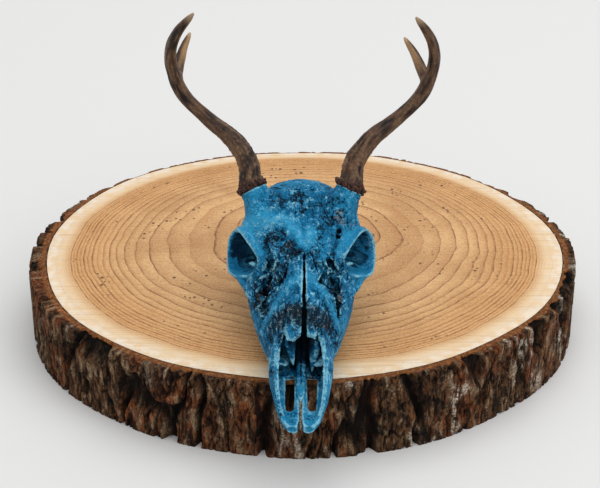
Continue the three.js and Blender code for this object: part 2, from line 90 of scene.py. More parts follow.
# %% Curves through points
def smooth(*points):
    """Curve through points (at, value): a cubic between each two, whose slope at a point is the
    harmonic mean of the steps before and after it, and level where the values turn."""
    at, value = np.array(points, float).T
    step = np.diff(value) / np.diff(at)
    before, after = step[:-1], step[1:]
    turns = before * after <= 0
    inner = np.where(turns, 0, 2 * before * after / np.where(turns, 1, before + after))
    slope = np.concatenate([step[:1], inner, step[-1:]])

    def curve(x):
        x = np.clip(x, at[0], at[-1])
        i = np.clip(np.searchsorted(at, x, "right") - 1, 0, len(step) - 1)
        wide = at[i + 1] - at[i]
        t = (x - at[i]) / wide
        rest = 1 - t
        rise = rest * slope[i] - t * slope[i + 1]
        held = (1 + 2 * t) * rest * rest * value[i] + t * t * (3 - 2 * t) * value[i + 1]
        return held + t * rest * wide * rise

    return curve


def spline(points, share, closed=False):
    """Points at each share of the way along a centripetal Catmull-Rom curve: each span is a cubic
    whose knots are spaced by the square root of the chord. points may be one row or many."""
    points = np.asarray(points, float)
    if closed:
        held = np.concatenate([points[..., -1:, :], points, points[..., :2, :]], -2)
    else:
        first = 2 * points[..., :1, :] - points[..., 1:2, :]
        last = 2 * points[..., -1:, :] - points[..., -2:-1, :]
        held = np.concatenate([first, points, last], -2)
    spans = held.shape[-2] - 3
    along = np.clip(np.asarray(share, float) * spans, 0, spans)
    i = np.minimum(along.astype(int), spans - 1)
    t = (along - i)[:, None]
    p0, p1, p2, p3 = (held[..., i + n, :] for n in range(4))
    d0, d1, d2 = (np.sqrt(np.linalg.norm(b - a, axis=-1, keepdims=True)) + 1e-9
                  for a, b in ((p0, p1), (p1, p2), (p2, p3)))
    m1 = d1 * ((p1 - p0) / d0 - (p2 - p0) / (d0 + d1)) + (p2 - p1)
    m2 = d1 * ((p3 - p2) / d2 - (p3 - p1) / (d1 + d2)) + (p2 - p1)
    return (p1 + m1 * t + (3 * (p2 - p1) - 2 * m1 - m2) * t**2
            + (2 * (p1 - p2) + m1 + m2) * t**3)


def along_curve(points, count):
    """Points at even steps along a curve, and its direction at each."""
    fine = spline(points, np.linspace(0, 1, 600))
    way = np.concatenate([[0], np.cumsum(np.linalg.norm(np.diff(fine, axis=0), axis=1))])
    even = np.linspace(0, way[-1], count)
    place = np.stack([np.interp(even, way, fine[:, n]) for n in range(3)], -1)
    ahead = np.gradient(place, axis=0)
    return place, ahead / np.linalg.norm(ahead, axis=1, keepdims=True)


print("a curve through (0, 0), (1, 2), (3, 3) at 2:", round(float(smooth((0, 0), (1, 2), (3, 3))(2)), 3))

# %% [markdown]
# A closed surface is a stack of rings, joined to each other and closed to a point at each end.
# Tubes, rounded lumps and the lofted halves of the skull are all made from such a stack.

# %% Stacks of rings
def stacked(rings):
    """Points and triangles of the closed surface through rings, an array (row, around, xyz)."""
    rows, around, _ = rings.shape
    points = np.concatenate([rings.reshape(-1, 3), rings[[0, -1]].mean(1)])
    row, one = np.meshgrid(np.arange(rows - 1), np.arange(around), indexing="ij")
    two = (one + 1) % around
    a, b = row * around + one, row * around + two
    c, d = a + around, b + around
    sides = np.stack([a, b, d, a, d, c], -1).reshape(-1, 3)
    one, two = one[0], two[0]
    end = (rows - 1) * around
    first = np.stack([two, one, np.full(around, rows * around)], -1)
    last = np.stack([end + one, end + two, np.full(around, rows * around + 1)], -1)
    return points, np.concatenate([sides, first, last])


def ring_quads(rows, around):
    """Quads of a surface whose rows and rings both close on themselves, as on a doughnut."""
    row, one = np.meshgrid(np.arange(rows), np.arange(around), indexing="ij")
    down, two = (row + 1) % rows, (one + 1) % around
    return np.stack([row * around + one, row * around + two, down * around + two,
                     down * around + one], -1).reshape(-1, 4)


def tube(points, radius, around=40, count=120):
    """Rings round a curve. radius takes the share of the way along and the angle round it."""
    place, ahead = along_curve(points, count)
    side = np.cross((0, 1, 0), ahead)
    side /= np.linalg.norm(side, axis=1, keepdims=True)
    top = np.cross(ahead, side)
    angle = np.linspace(0, 2 * np.pi, around, endpoint=False)[None, :]
    share = np.linspace(0, 1, count)[:, None]
    size = (radius(share, angle) * np.ones_like(angle))[..., None]
    turn = angle[..., None]
    return stacked(place[:, None] + size * (np.cos(turn) * side[:, None]
                                            + np.sin(turn) * top[:, None]))


def turned(points, x=0, y=0, z=0):
    """Points turned about X, then Y, then Z, as nested turns of the axes."""
    cx, sx, cy, sy, cz, sz = (f(a) for a in (x, y, z) for f in (math.cos, math.sin))
    about_x = np.array([[1, 0, 0], [0, cx, -sx], [0, sx, cx]])
    about_y = np.array([[cy, 0, sy], [0, 1, 0], [-sy, 0, cy]])
    about_z = np.array([[cz, -sz, 0], [sz, cz, 0], [0, 0, 1]])
    return points @ (about_x @ about_y @ about_z).T


def lump(middle, half, turn=(0, 0, 0), square=1):
    """Rounded body: a sphere stretched to half sizes and turned. Its coordinates are raised to a
    power under one to square it off."""
    up = np.linspace(-np.pi / 2, np.pi / 2, 26)[1:-1, None]
    angle = np.linspace(0, 2 * np.pi, 36, endpoint=False)[None, :]
    ball = np.stack(np.broadcast_arrays(np.cos(up) * np.cos(angle), np.cos(up) * np.sin(angle),
                                        np.sin(up)), -1)
    ball = np.sign(ball) * np.abs(ball) ** square
    return stacked(turned(ball * half, *turn) + middle)


print("a lump has", len(lump((0, 0, 0), (1, 1, 1))[1]), "triangles")


# %% [markdown]
# Hard booleans leave knife edges where one form meets the next. Bone flows from one to the other,
# so the surfaces go into a block of distances instead: each cell holds how far it is from the
# surface, less than nothing inside. Two forms then melt together by a soft minimum.

# %% A block of distances
CELL = 0.75
BAND = 9
FAR = BAND * CELL
TRANSFORM = vdb.createLinearTransform(voxelSize=CELL)


def distances(surface):
    """Lowest cell and distances of the cells near and inside a closed surface."""
    points, faces = surface
    grid = vdb.FloatGrid.createLevelSetFromPolygons(
        points.astype(np.float32), triangles=faces.astype(np.uint32), transform=TRANSFORM,
        halfWidth=BAND)
    low, high = grid.evalActiveVoxelBoundingBox()
    values = np.empty(np.subtract(high, low) + 1, np.float32)
    grid.copyToArray(values, ijk=low)
    return np.array(low), values


def mirrored(part):
    """The same distances on the other side of the middle plane."""
    low, values = part
    return np.array([1 - low[0] - values.shape[0], *low[1:]]), values[::-1]


def soft_min(a, b, soft):
    """The smaller of two distances, rounded where they differ by less than soft."""
    if not soft:
        return np.minimum(a, b)
    share = np.clip(0.5 + 0.5 * (b - a) / soft, 0, 1)
    return b + (a - b) * share - soft * share * (1 - share)


class Clay:
    """A block of distances that closed surfaces are added to or cut from."""

    def __init__(self, low, high):
        self.low = np.floor(np.array(low) / CELL).astype(int)
        count = np.ceil(np.array(high) / CELL).astype(int) - self.low
        self.values = np.full(count, FAR, np.float32)

    def shared(self, part):
        """Where a part lies in this block, and the part's own values there."""
        low, values = part
        start = np.maximum(low - self.low, 0)
        stop = np.minimum(low + values.shape - self.low, self.values.shape)
        mine = tuple(slice(a, b) for a, b in zip(start, stop))
        shift = self.low - low
        theirs = tuple(slice(a + s, b + s) for a, b, s in zip(start, stop, shift))
        return mine, values[theirs]

    def add(self, *surfaces, soft=0, pair=False):
        """Join surfaces on by a soft minimum, on both sides if they are a pair."""
        for surface in surfaces:
            part = distances(surface)
            for one in (part, mirrored(part)) if pair else (part,):
                mine, other = self.shared(one)
                self.values[mine] = soft_min(self.values[mine], other, soft)

    def cut(self, *surfaces, soft=0, pair=False, ragged=0):
        """Take surfaces away, their distances shaken by noise of so many millimetres if ragged."""
        for surface in surfaces:
            part = distances(surface)
            if ragged:
                spot = np.stack(np.indices(part[1].shape), -1) + part[0]
                part = part[0], part[1] + ragged * noise(spot * CELL, 3.6, 5).astype(np.float32)
            for one in (part, mirrored(part)) if pair else (part,):
                mine, other = self.shared(one)
                self.values[mine] = -soft_min(-self.values[mine], other, soft)

    def axes(self):
        """Coordinates of the cells along x, y and z, shaped to spread over the block."""
        x, y, z = ((np.arange(n) + low) * CELL for n, low in zip(self.values.shape, self.low))
        return x[:, None, None], y[None, :, None], z[None, None, :]


print("cells of", CELL, "mm, distances kept up to", FAR, "mm")

# %% [markdown]
# The muzzle is a tapering box with rounded corners. Ten points give its section: the top, the
# edge of the nose bones, the cheek, the widest place, the gum and the palate. Each is a curve
# along the skull. The frame is the skull's own: y runs back from the snout and z up from the
# plane of the cheek teeth, in millimetres.

# %% Sections of the skull
top_line = smooth((0, 22), (53, 50), (80, 59.5), (100, 66.5), (125, 75), (150, 83.5), (170, 88.5),
                  (186, 91), (199, 88.5), (212, 80), (226, 70), (238, 61))
muzzle_half = smooth((0, 9.4), (4, 12.6), (10, 14.9), (20, 18), (38, 21.3), (50, 22.8), (60, 22.5),
                     (67, 22.9), (73, 25.2), (80, 28), (96, 33), (111, 37.4), (125, 39.4), (146, 42.5))
muzzle_mid = smooth((0, 13), (20, 14.5), (40, 21), (62, 29), (90, 28), (120, 34), (146, 40))
nose_half = smooth((0, 7), (53, 9.3), (70, 10.6), (90, 12), (110, 14), (125, 17), (146, 26))
foot_half = smooth((0, 8), (10, 12.5), (40, 18.5), (62, 20.5), (78, 22.5), (100, 27.5),
                   (125, 30.5), (146, 31))
GUM = 11
foot_low = smooth((0, 9.5), (30, 9), (62, 12), (76, GUM), (146, GUM))
palate = smooth((0, 9.2), (30, 9), (60, 12.5), (80, 15.5), (146, 17))
NOSE_TIP = 53
NASION = 125
WALL = 3.2


def section(y, *corners):
    """Closed sections at each y through corners (x, z), mirrored in order round the section."""
    right = [np.stack(np.broadcast_arrays(x, y, z), -1) for x, z in corners]
    left = [point * (-1, 1, 1) for point in right[::-1] if np.abs(point[:, 0]).max() > 0]
    ring = np.stack(right + left, -2)
    return spline(ring, np.arange(96) / 96, closed=True)


def muzzle(start, stop, inset=0):
    """Muzzle from one y to another, its walls drawn in by an inset."""
    y = np.linspace(start, stop, 150)
    nose = np.maximum(1.5, nose_half(y) - 0.4 * inset)
    nose_z = top_line(y) - 2.6 - 0.02 * y - inset
    wide, mid = muzzle_half(y) - inset, muzzle_mid(y)
    cheek = nose + 0.5 * (wide - nose) + 1.2
    return stacked(section(y, (0, top_line(y) - inset), (nose, nose_z),
                           (cheek, nose_z + 0.42 * (mid - nose_z)), (wide, mid),
                           (foot_half(y) - 1.15 * inset, foot_low(y) + inset),
                           (0, palate(y) + 1.25 * inset)))


print("muzzle at its widest", 2 * float(muzzle_half(146)), "mm")

# %% [markdown]
# Behind the face come the braincase, an egg of thin bone, and over it the roof of the frontal
# bone, which spreads to the brows and carries the antlers.

# %% Braincase and roof
case_half = smooth((116, 14), (140, 16), (160, 22), (178, 29), (195, 33), (212, 33), (226, 30),
                   (238, 25))
case_low = smooth((116, 34), (140, 26), (165, 20), (200, 16), (226, 17), (238, 20))
roof_half = smooth((108, 14), (125, 21), (133, 27), (140, 32), (152, 38.4), (162, 46), (167, 44.6),
                   (173, 40.6), (184, 39.5), (194, 36), (203, 28))
roof_drop = smooth((108, 6), (125, 11), (139, 15), (152, 14.5), (163, 18), (175, 12), (185, 9),
                   (203, 18))


def braincase():
    """Egg-shaped case: each section runs from the crown out to the temple and in to the base."""
    y = np.linspace(116, 238, 110)
    half, low = case_half(y), case_low(y)
    high = top_line(y) - 1.5
    tall = high - low
    mid = low + 0.52 * tall
    return stacked(section(y, (0, high), (0.68 * half, high - 0.08 * tall), (half, mid + 6),
                           (0.92 * half, mid - 12), (0.5 * half, low)))


def frontal_roof():
    """Roof with a shallow dip between the brows. Its edge drops towards the orbit."""
    y = np.linspace(108, 203, 100)
    top, half, drop = top_line(y), roof_half(y), roof_drop(y)
    dip = 1.2 * np.exp(-(((y - 146) / 12) ** 2))
    return stacked(section(y, (0, top - dip), (0.45 * half, top - 0.16 * drop),
                           (0.82 * half, top - 0.66 * drop), (half, top - drop - 1.5),
                           (half - 3.5, top - drop - 5.5), (0.4 * half, top - 26)))


print("brows", 2 * float(roof_half(162)), "mm across")

# %% [markdown]
# The orbit is the great round opening for the eye. Its rim is a closed curve through eight points
# that leans with the side of the face. A ring of bone follows it. Behind it a cup of bone is added
# and a slightly smaller one is hollowed out, so that a thin shell is left round the eye.

# %% Orbit
orbit_points = np.array([(46.2, 162, 68.5), (37.5, 147, 68), (30, 134, 61.5), (33, 133, 51),
                         (43, 141.5, 41.5), (51.5, 150.5, 38.5), (53.4, 163, 46), (51.6, 167.5, 58)], float)
orbit_middle = np.array((43.5, 149.5, 53))
orbit_out = np.array((math.cos(math.radians(30)), -math.sin(math.radians(30)), 0))


def orbit_spokes(around):
    """Rim points, their share round the rim, the way out from the middle, and their lift."""
    share = np.arange(around) / around
    rim = spline(orbit_points, share, closed=True)
    away = rim - orbit_middle
    lift = away @ orbit_out
    away -= lift[:, None] * orbit_out
    reach = np.linalg.norm(away, axis=1)
    return share, rim, away / reach[:, None], reach, lift


def orbit_ring():
    """Ring of bone on the rim, a small flattened circle at every spoke."""
    share, rim, away, _, _ = orbit_spokes(120)
    thick = (2.1 + 0.9 * np.sin(np.pi * share) ** 2)[None, :, None]
    angle = np.linspace(0, 2 * np.pi, 16, endpoint=False)[:, None, None]
    rings = rim + thick * (np.cos(angle) * away + 1.3 * np.sin(angle) * orbit_out)
    return rings.reshape(-1, 3), ring_quads(*rings.shape[:2])[:, [0, 1, 2, 0, 2, 3]].reshape(-1, 3)


def orbit_cup(deep=25, inner=1.6, front=12.5, back=-25):
    """Hollow whose reach falls off as an ellipse with depth, from a front depth to a back one."""
    _, _, away, reach, lift = orbit_spokes(72)
    depth = np.linspace(back, front, 40)[:, None, None]
    narrow = np.where(depth < 0, np.sqrt(1 - 0.72 * (depth / deep) ** 2), 1 + 0.02 * depth)
    follow = np.clip(1 + np.minimum(0, depth) / deep, 0, None)
    reach, lift = (reach - inner)[None, :, None], lift[None, :, None]
    return stacked(orbit_middle + away * reach * narrow + orbit_out * (depth + lift * follow))


print("orbit", round(float(np.ptp(orbit_points[:, 2])), 1), "mm high")

# %% [markdown]
# The cheek arch, the stalks that carry the antlers, and the back and base of the skull are tubes
# and lumps that melt into the case.

# %% Arches, stalks and the back of the skull
stalk_way = np.array((0.42, 0.54, 0.73)) / np.linalg.norm((0.42, 0.54, 0.73))
burr_middle = np.array((37.4, 185, 92.5))
arch_points = [(35, 122, 38), (41.5, 136, 37), (50, 152.5, 40), (52.6, 170, 43), (49, 188, 40),
               (40, 201, 37), (29, 208, 36)]
arch_high = smooth((0, 4.6), (0.25, 3.8), (0.55, 3.4), (0.85, 4), (1, 5))
stalk_radius = smooth((0, 14.5), (0.5, 12.2), (0.85, 10.4), (1, 10.2))
HANG_TIP = -(222 - 76) * math.tan(math.radians(5))


def cheek_arch():
    """Flattened tube from the cheekbone back to the ear."""
    return tube(arch_points, lambda t, a: arch_high(t) * (1 - 0.42 * np.cos(a) ** 2))


def stalk():
    """Tapering tube from the roof up to the burr."""
    ends = [burr_middle - 26 * stalk_way, burr_middle - 2.75 * stalk_way]
    return tube(ends, lambda t, a: stalk_radius(t), count=30)


def crest():
    """Ridge across the back of the skull."""
    points = [(-31, 219, 44), (-23, 231, 54), (0, 236, 60), (23, 231, 54), (31, 219, 44)]
    return tube(points, lambda t, a: 2.6 + 0 * t, around=24)


def hanging_process():
    """Flattened tube that hangs from the back corner down to the wood."""
    points = [(24, 226, 30), (23.5, 226, 14), (22, 223, 0), (21, 222, HANG_TIP)]
    return tube(points, lambda t, a: (8 - 5.2 * t) * (1 - 0.45 * np.sin(a) ** 2), around=32)


def base_lumps():
    """Condyle, ear capsule, ear tube, jaw joint and wing on one side."""
    return [lump((10, 237, 25), (6.5, 7, 9.5), (0.3, 0, 0.35)),
            lump((17, 206, 13), (6.5, 10, 7.5)),
            lump((28, 208, 22), (8, 5.5, 6.5)),
            lump((31, 199, 31), (9, 7, 5)),
            lump((11, 165, 17), (1.5, 6.5, 13), (0.2, 0, 0), 0.8)]


print("arch", round(float(2 * max(p[0] for p in arch_points)), 1), "mm across the cheeks")

# %% [markdown]
# Each side has six cheek teeth, three small ones and three double ones, worn slanting and with a
# crescent valley in the middle. Squared lumps give the crowns, and small lumps cut the valleys.

# %% Cheek teeth
tooth_long = np.array((9, 10, 10.5, 12.5, 14, 15))
tooth_half = np.array((3.6, 4.4, 5, 6.2, 6.6, 6.2))
tooth_start = 76 + np.concatenate([[0], np.cumsum(tooth_long)[:-1]])


def teeth():
    """Crowns and their valleys: one lobe on the small teeth and two on the large ones."""
    crowns, valleys = [], []
    for start, long, half in zip(tooth_start, tooth_long, tooth_half):
        lobes = 1 if half < 5.5 else 2
        for lobe in range(lobes):
            y = start + long * (lobe + 0.5) / lobes
            x = foot_half(y) - half - 0.6
            size = (half, 0.5 * long / lobes + 0.3, 8.6)
            crowns.append(lump((x, y, 8.8), size, (0, 0.06, 0), 0.62))
            valleys.append(lump((x + 0.4, y, 0.4), (1.1, 0.34 * long / lobes, 2.6), (0, 0, 0.25)))
            valleys.append(lump((x + half + 0.8, y, 0), (half * 0.6, long, 2.2), (0, 0.6, 0)))
    return crowns, valleys


print("tooth row", float(tooth_long.sum()), "mm long")

# %% [markdown]
# Flat outlines part the bones at their sutures and open the nose. The distance to an outline is
# exact and cheap in two dimensions, and it is spread along the third.

# %% Outlines as distances
def outline_distance(u, v, outline):
    """Distance from each (u, v) to a closed outline, less than nothing inside it."""
    outline = np.array(outline, float)
    best = np.full(np.broadcast(u, v).shape, np.inf)
    inside = np.zeros(best.shape, bool)
    for (au, av), (bu, bv) in zip(outline, np.roll(outline, -1, 0)):
        eu, ev = bu - au, bv - av
        t = np.clip(((u - au) * eu + (v - av) * ev) / (eu * eu + ev * ev), 0, 1)
        best = np.minimum(best, (u - au - t * eu) ** 2 + (v - av - t * ev) ** 2)
        if ev:
            crossed = (av > v) != (bv > v)
            inside ^= crossed & (u < au + (v - av) * eu / ev)
    return np.where(inside, -1, 1) * np.sqrt(best)


def side_region(clay, outline, from_x, to_x):
    """Prism of an outline (y, z) between two x values."""
    x, y, z = clay.axes()
    flat = outline_distance(y, z, outline)
    return np.maximum(flat, np.maximum(from_x - x, x - to_x)).astype(np.float32)


def top_region(clay, outline, from_z, to_z):
    """Prism of an outline (x, y) between two heights."""
    x, y, z = clay.axes()
    flat = outline_distance(x, y, outline)
    return np.maximum(flat, np.maximum(from_z - z, z - to_z)).astype(np.float32)


def mirror_region(clay, region):
    """A region of a block on the other side of the middle plane."""
    whole = np.full_like(region, FAR)
    mine, seen = clay.shared(mirrored((clay.low, region)))
    whole[mine] = seen
    return whole


print("distance from (2, 2) to a square of 1 mm:",
      round(float(outline_distance(2.0, 2.0, [(0, 0), (1, 0), (1, 1), (0, 1)])), 3))

# %% [markdown]
# The small relief of bone, antler and bark comes from noise: a lattice of seeded random numbers
# with eased steps between them, and scattered points whose distances give pits and cracks.

# %% Noise
chance = np.random.default_rng(7)
lattice = chance.random((64, 64, 64)).astype(np.float32)


def corner_mean(block, whole, part):
    """Mean of a block's eight cells round each spot, given as whole cells and the part beyond,
    weighed by nearness. Past an end the block begins again."""
    total = 0
    for corner in np.ndindex(2, 2, 2):
        weight = np.prod(np.where(corner, part, 1 - part), -1)
        index = tuple((whole[..., n] + corner[n]) % block.shape[n] for n in range(3))
        total = total + weight * block[index]
    return total


def noise(points, size, seed=0):
    """Smooth noise from -1 to 1: random numbers at lattice points, eased in between."""
    spot = points / np.array(size, float) + 17.3 * seed
    whole = np.floor(spot).astype(int)
    part = spot - whole
    return 2 * corner_mean(lattice, whole, part * part * (3 - 2 * part)) - 1


def layered(points, size, layers=3, seed=0):
    """Noise summed over layers, each half the size and half the strength of the one before."""
    return sum(noise(points, np.array(size) / 2**n, seed + n) / 2**n for n in range(layers))


def cells(points, size, seed=0):
    """Distance to the nearest and the second nearest of scattered points, in units of size."""
    spot = points / np.array(size, float) + 11.7 * seed
    whole = np.floor(spot).astype(int)
    near = np.full(len(points), 9.0)
    next_near = np.full(len(points), 9.0)
    for shift in np.ndindex(3, 3, 3):
        cell = whole + np.array(shift) - 1
        ix, iy, iz = (cell[:, n] % 64 for n in range(3))
        jitter = np.stack([lattice[ix, iy, iz], lattice[iy, iz, ix], lattice[iz, ix, iy]], -1)
        away = np.linalg.norm(cell + jitter - spot, axis=1)
        next_near = np.minimum(next_near, np.maximum(near, away))
        near = np.minimum(near, away)
    return near, next_near


def step(x, low, high):
    """Smooth step from 0 at low to 1 at high."""
    t = np.clip((x - low) / (high - low), 0, 1)
    return t * t * (3 - 2 * t)


print("lattice", lattice.shape, "mean", round(float(lattice.mean()), 3))

# %% [markdown]
# Now the skull is put together in the order of the real thing: face, case and roof melt into
# each other, the nose, orbits and temples are hollowed, and the arches go on.

# %% Put the skull together
def nose_opening(clay):
    """Everything above a line that climbs from the snout to the tip of the nose bones."""
    under = float(top_line(NOSE_TIP)) - 4.2
    return side_region(clay, [(-6, 15.5), (8, 16), (22, 19.5), (36, 26), (50, 34.5), (62, 42),
                              (71, 50), (NOSE_TIP + 4, under + 1), (NOSE_TIP, under),
                              (NOSE_TIP - 1, 62), (-6, 62)], -40, 40)


def palate_slot(clay):
    """Long slot with a round front end on each side of the palate."""
    ends = np.linspace(np.pi, 2 * np.pi, 16)
    front = [(8 + 3.1 * math.cos(a), 22.5 + 3.1 * math.sin(a)) for a in ends]
    slot = top_region(clay, front + [(11.8, 55), (4.3, 55)], -10, 19)
    return np.minimum(slot, mirror_region(clay, slot))


skull = Clay((-62.25, -6, -17.25), (62.25, 247.5, 118.5))
skull.add(muzzle(0, 146))
inner_nose = muzzle(9, 119, WALL)
skull.cut(inner_nose)
skull.values = np.maximum(skull.values, -nose_opening(skull))
skull.values = np.maximum(skull.values, -palate_slot(skull))
skull.add(braincase(), soft=4)
skull.add(frontal_roof(), soft=2.5)
skull.add(stalk(), soft=5, pair=True)
temple = lump((41, 181, 52), (9, 16, 20), (0, 0, 0.2))
skull.cut(temple, soft=2, pair=True)
skull.add(orbit_ring(), soft=2, pair=True)
skull.add(cheek_arch(), soft=2.5, pair=True)
skull.add(orbit_cup(inner=-0.7, front=-0.5, back=-21), soft=1.5, pair=True)
skull.cut(orbit_cup(back=-19), soft=1, pair=True)
eye_corner = lump((31, 158, 50), (5, 8, 6.5), (0, 0, 0.5))
skull.cut(eye_corner, soft=1, pair=True)
skull.cut(inner_nose)
print("skull block", skull.values.shape)

# %% [markdown]
# In front of each orbit the face has a wide ragged opening by the nose bone and a narrow one
# beside it, with thin struts between them. They are cut first, with edges shaken by noise, and
# the struts are laid back over. Small holes for nerves open on the brow and the cheek. The cheek
# arches were laid on before, and the crest, the base and the teeth follow.

# %% Openings of the face
LEAN = (0.25, 0.75, 0.16)
windows = [lump((25.3, 114, 54), (5.8, 14, 10), LEAN), lump((20.3, 122.5, 63), (6.6, 7.5, 9), LEAN),
           lump((16.4, 111, 62), (2.6, 8, 8), (0.25, 0.75, -0.1)),
           lump((29.5, 101, 45), (3.2, 12, 10), (0.3, 0.9, 0.26))]
skull.cut(*windows, soft=0.6, pair=True, ragged=1.8)
cheek_holes = [lump((-15.2, 88.3, 55), (1.7, 1.7, 5), LEAN), lump((18.4, 91.6, 53), (1.7, 2, 5), LEAN)]
brow_holes = [lump((-23, 145.5, 77), (3.2, 2.2, 4.5)), lump((28.2, 151.5, 76), (1.7, 1.8, 6)),
              lump((27.6, 147, 75), (1.7, 2.2, 6))]
brow_dip = lump((4, 149, 84.5), (3, 5.5, 2.2))
skull.cut(*cheek_holes, *brow_holes, brow_dip, soft=1)
strut_lines = [[(30, 118, 56), (25, 118, 59), (21.5, 119.5, 62), (17, 124, 67)],
               [(20.5, 120, 62.5), (19, 114, 60), (20.5, 108, 56), (24, 102, 49)],
               [(26, 108, 47), (28, 104, 45.5), (33, 99, 41)]]
for line in strut_lines:
    strut = tube(line, lambda t, a: 1.4 - 0.75 * np.sin(np.pi * t) + 0.15 * np.sin(14 * t + a), 16, 50)
    skull.add(strut, soft=2.2, pair=True)
spur = [(31, 130, 57), (35.5, 137, 55), (38.5, 141.5, 52)]
skull.add(tube(spur, lambda t, a: 2.1 - 1.1 * t + 0 * a, 16, 30), soft=1.2, pair=True)
shelf = lump((14.6, 59, 25.5), (6, 4.5, 1), (0, -0.35, 0), 0.8)
skull.add(shelf, soft=1, pair=True)
skull.add(crest(), soft=3)
skull.add(*base_lumps(), soft=2.5, pair=True)
skull.add(hanging_process(), soft=3, pair=True)
spine_hole = lump((0, 241, 33), (8.5, 13, 8))
skull.cut(spine_hole, soft=1)
crowns, valleys = teeth()
skull.add(*crowns, soft=0.6, pair=True)
skull.cut(*valleys, soft=0.4, pair=True)
print("struts", len(strut_lines), "crowns on each side", len(crowns))

# %% [markdown]
# The nose bones have shrunk apart and leave a dark slit a little to one side of the middle, which
# widens forwards. Their tips end in a ragged edge, and the snout is split too. All three are flat
# outlines seen from above, because only their plan matters.

# %% Slits of the nose and snout
MIDDLE = 2.3
slit_side = [(2.3, 40), (2.1, NOSE_TIP + 4), (1.5, 82), (1, 108), (0.5, NASION - 1)]
nose_slit = top_region(skull, [(MIDDLE + u, v) for u, v in slit_side]
                       + [(MIDDLE - u, v) for u, v in slit_side[::-1]], 38, 120)
snout_slit = top_region(skull, [(-3.6, -6), (3, -6), (0.6, 7), (0.9, 34), (-1.1, 34), (-1.2, 7)],
                        0, 24)
nose_end = top_region(skull, [(-14, 40), (14, 40), (12.6, 47), (11.2, 52), (9.6, 57), (6.5, 59),
                              (MIDDLE + 1.5, 58.5), (MIDDLE - 1.5, 58.5), (-2.2, 56.6), (-5.4, 55),
                              (-8.8, 56.4), (-11.4, 54.2)], 38, 70)
for opening in (nose_slit, snout_slit, nose_end):
    skull.values = np.maximum(skull.values, -opening)
print("cells inside the skull", int((skull.values < 0).sum()))

# %% [markdown]
# A surface is drawn through the cells where the distance changes sign, as quads. Its normals are
# the sums of the faces round each point, found by counting with weights rather than by a loop.

# %% From distances to surfaces
def surface_of(low, values):
    """Points and quads of the closed surface at distance nought, facing out."""
    grid = vdb.FloatGrid(FAR)
    grid.copyFromArray(np.ascontiguousarray(values), ijk=tuple(int(n) for n in low))
    grid.transform = TRANSFORM
    points, quads = grid.convertToQuads()
    a, b, c, d = (points[quads[:, n]].astype(float) for n in range(4))
    volume = (np.cross(c - a, d - b) * (a + b + c + d)).sum() / 24
    return points.astype(float), quads if volume > 0 else quads[:, ::-1]


def normals_of(points, quads):
    """Mean direction of the faces round each point."""
    a, b, c, d = (points[quads[:, n]] for n in range(4))
    face = np.cross(c - a, d - b)
    total = np.stack([sum(np.bincount(quads[:, k], face[:, n], len(points)) for k in range(4))
                      for n in range(3)], -1)
    return total / np.maximum(np.linalg.norm(total, axis=1, keepdims=True), 1e-12)


PITCH = math.radians(5)
SKULL_LIFT = 65.3 - 76 * math.sin(PITCH)


def set_down(points):
    """From the skull's own frame to the slice: pitched up by five degrees and moved into place."""
    x, y, z = points.T
    return np.stack([x - 1.5, y * math.cos(PITCH) - z * math.sin(PITCH) - 244.3,
                     z * math.cos(PITCH) + y * math.sin(PITCH) + SKULL_LIFT], -1)


def add_mesh(name, points, quads, stands_for, marks=None):
    """New piece in metres with smooth faces. marks holds one number per point for each name."""
    mesh = bpy.data.meshes.new(name)
    mesh.vertices.add(len(points))
    mesh.vertices.foreach_set("co", (points * MM).astype(np.float32).ravel())
    mesh.loops.add(quads.size)
    mesh.loops.foreach_set("vertex_index", quads.astype(np.int32).ravel())
    mesh.polygons.add(len(quads))
    mesh.polygons.foreach_set("loop_start", np.arange(0, quads.size, 4, dtype=np.int32))
    mesh.update(calc_edges=True)
    mesh.polygons.foreach_set("use_smooth", np.ones(len(quads), bool))
    for mark, values in (marks or {}).items():
        layer = mesh.attributes.new(mark, "FLOAT", "POINT")
        layer.data.foreach_set("value", values.astype(np.float32))
    piece = bpy.data.objects.new(name, mesh)
    bpy.context.scene.collection.objects.link(piece)
    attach(piece, "root")
    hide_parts(*stands_for)
    print(name, len(quads) * 2, "triangles")
    return piece


print("skull pitched up by", round(math.degrees(PITCH)), "degrees")

# %% [markdown]
# Each point gets a measure of how enclosed it is: the share of bone within a few millimetres, found
# by blurring the block. A flat place has a half, a hollow more and an edge less. By it the finish
# draws hollows darker and puts a pale painted highlight on edges. Deep places such as the orbits
# are found by looking out along a few directions and counting those that are blocked, and they are
# drawn with a painted shade.

# %% Measure hollows and edges
def blurred(block, reach):
    """Mean over a cube that reaches so many cells each way, by differences of running sums."""
    wide = 2 * reach + 1
    for axis in range(3):
        pad = [(reach + 1, reach) if n == axis else (0, 0) for n in range(3)]
        sums = np.cumsum(np.pad(block, pad, mode="edge"), axis=axis, dtype=np.float64)
        ahead = np.take(sums, np.arange(wide, sums.shape[axis]), axis)
        behind = np.take(sums, np.arange(0, sums.shape[axis] - wide), axis)
        block = ((ahead - behind) / wide).astype(np.float32)
    return block


def sampled(low, block, points):
    """Values of a block at points, blended between the eight cells round each."""
    spot = points / CELL - low
    whole = np.clip(np.floor(spot).astype(int), 0, np.array(block.shape) - 2)
    return corner_mean(block, whole, np.clip(spot - whole, 0, 1))


def nearness(values):
    """Share of bone near each cell."""
    return blurred(blurred(np.clip(0.5 - values / CELL, 0, 1), 1), 2)


near_share = nearness(skull.values)
LOOKS = 18
turns = np.arange(LOOKS) * (np.pi * (3 - math.sqrt(5)))
heights = 1 - (2 * np.arange(LOOKS) + 1) / LOOKS
directions = np.stack([np.sqrt(1 - heights**2) * np.cos(turns),
                       np.sqrt(1 - heights**2) * np.sin(turns), heights], -1)


